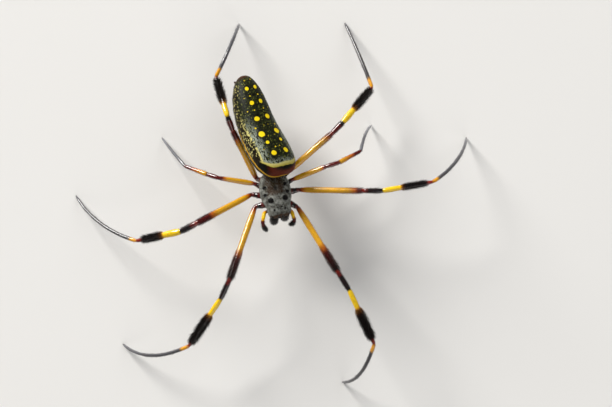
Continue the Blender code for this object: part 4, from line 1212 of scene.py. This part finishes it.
def make_palps(legs):
    """Two short leg-like feelers, dark and bristly at their ends."""
    material = palp_paint(legs)
    for letter, stops in PALP_ROUTES.items():
        share = np.linspace(0, 1, 80)
        route = placed(through_points(stops, 80), PROSOMA)
        points, radii, spread = rounded_ends(route, curve(share, PALP_SWELL) * MM)
        rings = sweep(points, radii, 18)
        along = np.repeat(spread[:, None], 18, 1)
        facts = {"palp_along": along,
                 "hair_amount": straight(along, ((0, 0.2), (0.5, 0.3), (0.7, 0.9), (1, 1.0))),
                 "hair_length": straight(along, ((0, 0.25), (0.6, 0.4), (0.8, 0.6), (1, 0.4))) * MM,
                 "lie": np.repeat(tangents(points)[:, None], 18, 1)}
        palp = skin(f"palp_{letter}_skin", rings, facts)
        dress(palp, material, [f"palp_{letter}"])


# Abdomen

def abdomen_section(share, angle):
    """Points in mm of the abdomen's skin at shares of its length and angles from its right side up."""
    width = curve(share, ABDOMEN_WIDTHS)
    power = 2 / 2.2
    across = np.sign(np.cos(angle)) * np.abs(np.cos(angle)) ** power
    up = np.sign(np.sin(angle)) * np.abs(np.sin(angle)) ** power

    def drawn_in(front):
        blunt = np.where(share < 0.5, front, BLUNTNESS["rear"])
        return (1 - np.abs(2 * share - 1) ** blunt) ** (1 / blunt)

    deep = np.where(up > 0, drawn_in(BLUNTNESS["back"]), drawn_in(BLUNTNESS["belly"]))
    bow = np.sin(math.pi * share)
    return np.stack([ABDOMEN_BOW[0] * bow + width * drawn_in(BLUNTNESS["back"]) * across,
                     -ABDOMEN_LENGTH * share + 0 * angle,
                     ABDOMEN_BOW[2] * bow + width * ABDOMEN_DEPTH * deep * up], -1)


def make_abdomen(looks):
    stations, around = 190, 168
    part = np.linspace(0, 1, stations)
    share = 0.5 - 0.5 * np.cos(math.pi * (0.5 + 0.985 * (part - 0.5)))
    turn = 2 * math.pi * (np.arange(around) + 0.5) / around - math.pi / 2
    share, angle = np.meshgrid(share, turn, indexing="ij")
    rows = abdomen_section(share, angle)
    roll = math.radians(PATTERN_ROLL)
    bow = ABDOMEN_BOW[0] * np.sin(math.pi * share)
    across = rows[..., 0] * math.cos(roll) + rows[..., 2] * math.sin(roll) - bow
    up = -rows[..., 0] * math.sin(roll) + rows[..., 2] * math.cos(roll)
    along = -rows[..., 1]
    place = np.stack([across, along, up], -1)
    centre = np.stack([ABDOMEN_BOW[0] * np.sin(math.pi * share), rows[..., 1],
                       ABDOMEN_BOW[2] * np.sin(math.pi * share)], -1)
    outward = rows - centre
    outward /= np.linalg.norm(outward, axis=-1)[..., None]
    dimples = np.zeros_like(across)
    for x, y in DIMPLES:
        dimples -= 0.09 * np.exp(-(((np.abs(across) - x) / 0.2) ** 2) - ((along - y) / 0.26) ** 2) * (up > 0)
    folds = 0.035 * np.sin(along * 2.6 + 1.5 * ripple(rows, 2.2)) * np.clip((1.6 - up) / 2.0, 0, 1)
    rows = rows + outward * (dimples + folds + 0.03 * ripple(rows, 0.8))[..., None]
    lie = np.gradient(placed(rows, ABDOMEN), axis=0)
    lie /= np.linalg.norm(lie, axis=-1)[..., None] + 1e-12
    facts = {"hide_place": place, "lie": lie, "hair_amount": np.ones_like(across),
             "hair_length": (0.26 + 0.06 * ripple(rows, 1.5)) * MM}
    body = skin("abdomen_skin", placed(rows, ABDOMEN), facts)
    return dress(body, abdomen_paint(looks), ["abdomen"])


def make_waist(looks):
    start = PROSOMA @ (Vector(PEDICEL_ROOT) * MM)
    belly = abdomen_section(np.array(PEDICEL_SHARE), np.array(-0.5 * math.pi))
    stop = ABDOMEN @ (Vector(belly) * MM)
    along = (stop - start).normalized()
    share = np.linspace(0, 1, 30)[:, None]
    start, stop = np.array(start - along * 0.5 * MM), np.array(stop + along * 0.5 * MM)
    rings = np.linspace(0, 1, 30)
    radii = (0.42 + 0.05 * np.cos(rings * 22)) * MM
    waist = skin("pedicel_skin", sweep(start + (stop - start) * share, radii, 20))
    return dress(waist, shell_paint("pedicel_shell", looks.rust, 0.4, looks.jaw), ["pedicel"])


def make_spinnerets():
    """Three pairs of jointed cones round the silk glands' outlets."""
    seat = abdomen_section(np.array(SPINNERET_SHARE), np.array(-0.5 * math.pi))
    back = np.array([0.0, -0.75, -0.66])
    back /= np.linalg.norm(back)
    side = np.array([1.0, 0.0, 0.0])
    up = np.cross(side, back)
    base = seat + back * 0.1
    share = np.linspace(0, 1, 16)
    parts = []
    hub, radii, _ = rounded_ends(placed(base + np.outer(share, back) * 1.0 - back * 0.3, ABDOMEN),
                                 np.array(straight(share, ((0, 1.05), (0.6, 0.95), (1, 0.7)))) * MM)
    rings = sweep(hub, radii, 28)
    parts.append(skin("spinneret_hub", rings, steady(rings, 0.3)))
    for along, out, reach, radius in SPINNERET_CONES:
        for hand in (1, -1):
            lean = np.tan(np.radians(12)) * hand * side + np.tan(np.radians(32 * along)) * up
            direction = (back + lean) / np.linalg.norm(back + lean)
            foot = base + hand * out * side + along * up
            radii = curve(share, ((0, 1.0), (0.45, 0.95), (0.55, 0.72), (0.8, 0.7), (1, 0.4))) * radius * MM
            route, radii, _ = rounded_ends(placed(foot + np.outer(share, direction) * reach, ABDOMEN), radii)
            rings = sweep(route, radii, 18)
            parts.append(skin(f"spinneret_cone_{along}_{hand}", rings, steady(rings, 1.0)))
    for number, part in enumerate(parts):
        unwrap = part.data.uv_layers["SkinUnwrap"]
        spots = np.zeros(2 * len(unwrap.data))
        unwrap.data.foreach_get("uv", spots)
        spots[0::2] = 0.003 + 0.994 * (number + spots[0::2]) / len(parts)
        unwrap.data.foreach_set("uv", spots)
    group = join("spinneret_group", parts)
    material = shell_paint("spinneret_skin", (0.06, 0.02, 0.008), 0.5, (0.13, 0.05, 0.02), 0.0)
    return dress(group, material, ["spinnerets"])


def steady(rings, share):
    """Hair facts of a small part whose hair lies along it."""
    shape = rings.shape[:2]
    lie = np.repeat(tangents(rings.mean(1))[:, None], shape[1], 1)
    return {"hair_amount": np.full(shape, share), "hair_length": np.full(shape, 0.32 * MM), "lie": lie}


# Legs

def leg_joints(key):
    pair, pose = key[1], POSE[key]
    femur, patella, tibia, _, coxa = LEG_LENGTHS[pair]
    forward, out = COXA_ROOTS[pair]
    side = 1 if key[0] == "r" else -1
    joints = [PROSOMA @ (Vector((side * out, forward, -COXA_DEPTH)) * MM)]
    for piece, size in (("coxa", coxa), ("femur", femur), ("patella", patella), ("tibia", tibia)):
        joints.append(joints[-1] + heading(*pose[piece]) * size * MM)
    return joints


def foot_route(start, size, pose, last_lift):
    first_yaw, last_yaw = pose["foot"]
    points = [start]
    for step in range(FOOT_STEPS):
        part = (step + 0.5) / FOOT_STEPS
        yaw = first_yaw + (last_yaw - first_yaw) * part ** pose["swing"]
        lift = pose["lift"] + (last_lift - pose["lift"]) * part
        points.append(points[-1] + heading(yaw, lift) * size / FOOT_STEPS)
    return points


def landed_foot(start, size, pose, sunk=0.12 * MM):
    """The foot whose tip just meets the floor, found by halving the range of its last lift."""
    low, high = -120.0, 0.0
    for _ in range(40):
        middle = (low + high) / 2
        if foot_route(start, size, pose, middle)[-1].z < -sunk:
            low = middle
        else:
            high = middle
    return foot_route(start, size, pose, high)


def leg_route(key):
    """Centreline of a leg in metres, and the count of pieces passed at each of its points."""
    pair = key[1]
    joints = leg_joints(key)
    foot = landed_foot(joints[-1], LEG_LENGTHS[pair][3] * MM, POSE[key])
    spacing = 0.16 * MM
    points, along = [], []
    for index in range(4):
        steps = max(6, round((joints[index + 1] - joints[index]).length / spacing))
        for k in range(steps):
            points.append(joints[index].lerp(joints[index + 1], k / steps))
            along.append(index + k / steps)
    steps = round(LEG_LENGTHS[pair][3] * MM / spacing)
    tail = through_points([tuple(point) for point in foot], steps)
    points = np.array([tuple(point) for point in points] + tail.tolist())
    along = np.array(along + (4 + np.linspace(0, 1, steps)).tolist())
    for _ in range(9):
        points[1:-1] = points[1:-1] * 0.5 + (points[:-2] + points[2:]) * 0.25
    clear = points[:, 2] > 0.16 * MM
    return points[clear], along[clear]


def make_leg(key, material):
    """One skin from hip to tip, drawn in at each joint."""
    pair = key[1]
    route, along = leg_route(key)
    scale = PAIR_THICKNESS[pair]
    radii = straight(along, LEG_RADII) * scale * MM
    if key in LEG_SWELL:
        radii *= straight(along, LEG_SWELL[key])
    for _ in range(2):
        radii[1:-1] = radii[1:-1] * 0.5 + (radii[:-2] + radii[2:]) * 0.25
    lead = route[0] - (route[1] - route[0]) / np.linalg.norm(route[1] - route[0]) * 0.35 * MM
    route = np.vstack([lead, route])
    along = np.concatenate([[0.0], along])
    radii = np.concatenate([[radii[0]], radii])
    spread = along.copy()
    points, sizes, places = rounded_ends(route, radii)
    lengths = np.concatenate([[0.0], np.cumsum(np.linalg.norm(np.diff(route, axis=0), axis=1))])
    along = np.interp(places, lengths / lengths[-1], spread)
    around = 18
    rings = sweep(points, sizes, around)
    coat = BARE_LEG if pair == "3" else BRUSH_LEG
    _, _, ring, cuff, _ = LEG_MARKS[key]
    step = straight(along, ((0, 0), (3.2, 3.2), (ring, BRUSH_START), (3.6, 3.6), (cuff, BRUSH_END), (4, 4),
                            (5, 5)))
    reach = straight(step, [(stop[0], stop[1]) for stop in coat])
    share = straight(step, [(stop[0], stop[2]) for stop in coat])
    on_brush = (step > BRUSH_START) & (step < 4.0)
    reach = np.where(on_brush, reach * BRUSH_LENGTH[key], reach)
    on_femur = (along > FEMUR_BRUSH_START) & (along < 2.0)
    reach = np.where(on_femur, reach * FEMUR_BRUSH[pair], reach)
    share = np.where(on_femur, share * FEMUR_BRUSH[pair], share)

    def spread_round(values):
        return np.repeat(np.asarray(values)[:, None], around, 1)

    facts = {"leg_along": spread_round(along), "hair_amount": spread_round(share),
             "hair_length": spread_round(reach * MM), "lie": np.repeat(tangents(points)[:, None], around, 1)}
    leg = skin(f"leg_{key}_skin", rings, facts)
    return dress(leg, material, [f"leg_{key}_{piece}" for piece in PIECES])


def make_claws(key, material):
    """Two hooked claws and a small middle one at the tip of a foot."""
    route, _ = leg_route(key)
    tip = route[-1]
    along = tangents(route)[-1]
    side = np.cross(along, (0.0, 0.0, 1.0))
    side /= np.linalg.norm(side)
    forward = np.cross((0.0, 0.0, 1.0), side)
    parts = []
    for hand, reach in ((1, 0.42), (-1, 0.42), (0, 0.28)):
        share = np.linspace(0, 1, 12)
        out = forward * 0.75 + side * 0.35 * hand
        drop = max(tip[2] - 0.035 * MM, 0.02 * MM)
        flat = np.outer(share, out) * reach * MM
        hook = tip + flat + np.outer(0.12 * np.sin(share * 2.2) * MM - drop * share ** 2, (0.0, 0.0, 1.0))
        parts.append(skin(f"claw_{hand}", sweep(hook, (0.07 * (1 - 0.8 * share)) * MM, 8)))
    claws = join(f"leg_{key}_claws", parts)
    return dress(claws, material)


# Stage

# Lamps: name, setting of its power, place, size, tint, and whether it shows in the gloss of the shell
LAMPS = (("key_light", "key_power", (-1.4, 1.7, 0.95), 0.9, (1.0, 0.98, 0.95), True),
         ("soft_light", "fill_power", (1.2, 1.2, 2.0), 2.4, (0.97, 0.98, 1.0), False),
         ("low_light", "low_power", (0.6, -1.9, 1.3), 1.8, (1.0, 0.98, 0.96), True))
WORLD_TINT = (0.9, 0.93, 0.96, 1.0)
WORLD_STRENGTH = 0.14


def make_floor(looks):
    paint = Paint("pale_floor", 0.85)
    haze = paint.noise(paint.coords(), 9.0, 2.0)
    tone = tuple(looks.floor)
    paint.finish(paint.mix(paint.times(haze, 0.4), tone, tuple(0.94 * part for part in tone)))
    bm = bmesh.new()
    bmesh.ops.create_circle(bm, cap_ends=True, segments=96, radius=3.0)
    mesh = bpy.data.meshes.new("floor")
    bm.to_mesh(mesh)
    bm.free()
    floor = bpy.data.objects.new("floor", mesh)
    bpy.context.scene.collection.objects.link(floor)
    floor.data.materials.append(paint.material)


def make_light(name, place, size, power, warmth, shines):
    """A square lamp; one that doesn't shine leaves the gloss of the shell alone."""
    lamp = bpy.data.lights.new(name, "AREA")
    lamp.size = size
    lamp.energy = power
    lamp.color = warmth
    made = bpy.data.objects.new(name, lamp)
    bpy.context.scene.collection.objects.link(made)
    made.visible_glossy = shines
    made.location = place
    made.rotation_euler = (-Vector(place)).to_track_quat("-Z", "Y").to_euler()


def make_camera(looks):
    lens = bpy.data.cameras.new("camera")
    lens.sensor_width = 36.0
    lens.lens = 36.0 * looks.camera_height / looks.picture_width
    lens.clip_start = 0.01
    lens.clip_end = 20.0
    camera = bpy.data.objects.new("camera", lens)
    bpy.context.scene.collection.objects.link(camera)
    camera.location = (looks.camera_x, looks.camera_y, looks.camera_height)
    bpy.context.scene.camera = camera


# Operators

class ORBWEAVER_OT_carapace(bpy.types.Operator):
    """Builds the carapace with its two horns, its bare spots and the front of the head"""

    bl_idname = "orbweaver.carapace"
    bl_label = "Carapace"

    def execute(self, context):
        make_carapace(context.scene.orbweaver_body)
        return {"FINISHED"}


class ORBWEAVER_OT_underbody(bpy.types.Operator):
    """Builds the plate between the legs with the mouth lobes"""

    bl_idname = "orbweaver.underbody"
    bl_label = "Underside Plate"

    def execute(self, context):
        make_underbody(context.scene.orbweaver_body)
        return {"FINISHED"}


class ORBWEAVER_OT_eyes(bpy.types.Operator):
    """Builds the eight eye lenses"""

    bl_idname = "orbweaver.eyes"
    bl_label = "Eyes"

    def execute(self, context):
        make_eyes(context.scene.orbweaver_body)
        return {"FINISHED"}


class ORBWEAVER_OT_jaws(bpy.types.Operator):
    """Builds the two chelicerae and their fangs"""

    bl_idname = "orbweaver.jaws"
    bl_label = "Jaws"

    def execute(self, context):
        make_jaws(context.scene.orbweaver_body)
        return {"FINISHED"}


class ORBWEAVER_OT_palps(bpy.types.Operator):
    """Builds the two palps with their bands"""

    bl_idname = "orbweaver.palps"
    bl_label = "Palps"

    def execute(self, context):
        make_palps(context.scene.orbweaver_legs)
        return {"FINISHED"}


class ORBWEAVER_OT_abdomen(bpy.types.Operator):
    """Builds the abdomen with its markings"""

    bl_idname = "orbweaver.abdomen"
    bl_label = "Abdomen"

    def execute(self, context):
        make_abdomen(context.scene.orbweaver_body)
        return {"FINISHED"}


class ORBWEAVER_OT_waist(bpy.types.Operator):
    """Builds the narrow waist between the carapace and the abdomen"""

    bl_idname = "orbweaver.waist"
    bl_label = "Waist"

    def execute(self, context):
        make_waist(context.scene.orbweaver_body)
        return {"FINISHED"}


class ORBWEAVER_OT_spinnerets(bpy.types.Operator):
    """Builds the six spinnerets on their mound"""

    bl_idname = "orbweaver.spinnerets"
    bl_label = "Spinnerets"

    def execute(self, context):
        make_spinnerets()
        return {"FINISHED"}


class ORBWEAVER_OT_legs(bpy.types.Operator):
    """Builds the eight legs, each one skin with its bands"""

    bl_idname = "orbweaver.legs"
    bl_label = "Legs"

    def execute(self, context):
        looks = context.scene.orbweaver_legs
        for key in POSE:
            make_leg(key, leg_paint(looks, key))
        return {"FINISHED"}


class ORBWEAVER_OT_claws(bpy.types.Operator):
    """Builds the claws at the tips of the feet"""

    bl_idname = "orbweaver.claws"
    bl_label = "Claws"

    def execute(self, context):
        looks = context.scene.orbweaver_legs
        material = shell_paint("claw_shell", looks.black, 0.3, looks.dark_red)
        for key in POSE:
            make_claws(key, material)
        return {"FINISHED"}


class ORBWEAVER_OT_brushes(bpy.types.Operator):
    """Grows the brushes and bristles of the eight legs"""

    bl_idname = "orbweaver.brushes"
    bl_label = "Leg Brushes"

    def execute(self, context):
        coat = context.scene.orbweaver_coat
        for number, key in enumerate(POSE):
            material = bristle_paint(context.scene.orbweaver_legs, key)
            grow_coat(f"leg_{key}_bristles", f"leg_{key}_skin", material,
                      bristles(coat, coat.brush_density, coat.brush_thickness, number))
        return {"FINISHED"}


class ORBWEAVER_OT_down(bpy.types.Operator):
    """Grows the silver down of the carapace"""

    bl_idname = "orbweaver.down"
    bl_label = "Silver Down"

    def execute(self, context):
        coat = context.scene.orbweaver_coat
        grow_coat("carapace_down", "carapace_shell", down_paint(context.scene.orbweaver_body),
                  flat_hair(coat, coat.down_density, DOWN_THICKNESS, DOWN_LEAN, 20))
        return {"FINISHED"}


class ORBWEAVER_OT_hide_hair(bpy.types.Operator):
    """Grows the fine flat hair of the abdomen"""

    bl_idname = "orbweaver.hide_hair"
    bl_label = "Abdomen Hair"

    def execute(self, context):
        coat = context.scene.orbweaver_coat
        grow_coat("abdomen_hair", "abdomen_skin", hide_hair_paint(context.scene.orbweaver_body),
                  flat_hair(coat, coat.hide_density, HIDE_THICKNESS, HIDE_LEAN, 21))
        return {"FINISHED"}


class ORBWEAVER_OT_small_bristles(bpy.types.Operator):
    """Grows the bristles of the jaws, the palps and the spinnerets"""

    bl_idname = "orbweaver.small_bristles"
    bl_label = "Bristles of the Small Parts"

    def execute(self, context):
        coat = context.scene.orbweaver_coat
        dark = hair_paint("jaw_hair", (0.003, 0.002, 0.002), (0.02, 0.012, 0.009), 0.4)
        palp = palp_hair_paint(context.scene.orbweaver_legs)
        brown = hair_paint("spinneret_hair", (0.02, 0.007, 0.003), (0.09, 0.04, 0.02), 0.5)
        coats = (("chelicera_r", "shell", dark, "horn_black"), ("chelicera_l", "shell", dark, "horn_black"),
                 ("palp_r", "skin", palp, "leg_skin"), ("palp_l", "skin", palp, "leg_skin"),
                 ("spinneret", "group", brown, "spinnerets"))
        for number, (part, ending, material, slot) in enumerate(coats):
            settings = bristles(coat, SMALL_DENSITY, SMALL_THICKNESS, 30 + number)
            grow_coat(f"{part}_bristles", f"{part}_{ending}", material, settings)
        return {"FINISHED"}


class ORBWEAVER_OT_stage(bpy.types.Operator):
    """Sets the pale floor, the studio lights and the camera straight above"""

    bl_idname = "orbweaver.stage"
    bl_label = "Stage"

    def execute(self, context):
        looks = context.scene.orbweaver_stage
        make_floor(looks)
        for name, power, place, size, warmth, shines in LAMPS:
            make_light(name, place, size, getattr(looks, power), warmth, shines)
        world = bpy.data.worlds.new("studio")
        world.use_nodes = True
        world.node_tree.nodes["Background"].inputs["Color"].default_value = WORLD_TINT
        world.node_tree.nodes["Background"].inputs["Strength"].default_value = WORLD_STRENGTH
        context.scene.world = world
        context.scene.view_settings.view_transform = "Standard"
        make_camera(looks)
        return {"FINISHED"}


class ORBWEAVER_PT_panel(bpy.types.Panel):
    """Lists the model's settings and the steps that build it"""

    bl_idname = "ORBWEAVER_PT_panel"
    bl_label = "Orb Weaver"
    bl_space_type = "VIEW_3D"
    bl_region_type = "UI"
    bl_category = "Orb Weaver"

    def draw(self, context):
        for operator in OPERATORS:
            self.layout.operator(operator.bl_idname)
        for label in SETTINGS:
            box = self.layout.box()
            group = getattr(context.scene, label)
            box.label(text=label.replace("_", " ").title())
            for item in group.bl_rna.properties:
                if item.identifier not in ("rna_type", "name"):
                    box.prop(group, item.identifier)


SETTINGS = {"orbweaver_body": OrbWeaverBody, "orbweaver_legs": OrbWeaverLegs, "orbweaver_coat": OrbWeaverCoat,
            "orbweaver_stage": OrbWeaverStage}
OPERATORS = (ORBWEAVER_OT_carapace, ORBWEAVER_OT_underbody, ORBWEAVER_OT_eyes, ORBWEAVER_OT_jaws,
             ORBWEAVER_OT_palps, ORBWEAVER_OT_abdomen, ORBWEAVER_OT_waist, ORBWEAVER_OT_spinnerets,
             ORBWEAVER_OT_legs, ORBWEAVER_OT_claws, ORBWEAVER_OT_brushes, ORBWEAVER_OT_down,
             ORBWEAVER_OT_hide_hair, ORBWEAVER_OT_small_bristles, ORBWEAVER_OT_stage)


def register():
    for item in (*SETTINGS.values(), *OPERATORS, ORBWEAVER_PT_panel):
        bpy.utils.register_class(item)
    for label, kind in SETTINGS.items():
        setattr(bpy.types.Scene, label, PointerProperty(type=kind))


def unregister():
    for label in SETTINGS:
        delattr(bpy.types.Scene, label)
    for item in reversed((*SETTINGS.values(), *OPERATORS, ORBWEAVER_PT_panel)):
        bpy.utils.unregister_class(item)


def main():
    register()
    for operator in OPERATORS:
        getattr(bpy.ops.orbweaver, operator.bl_idname.partition(".")[2])()
    bpy.context.view_layer.update()


if __name__ == "__main__":
    main()
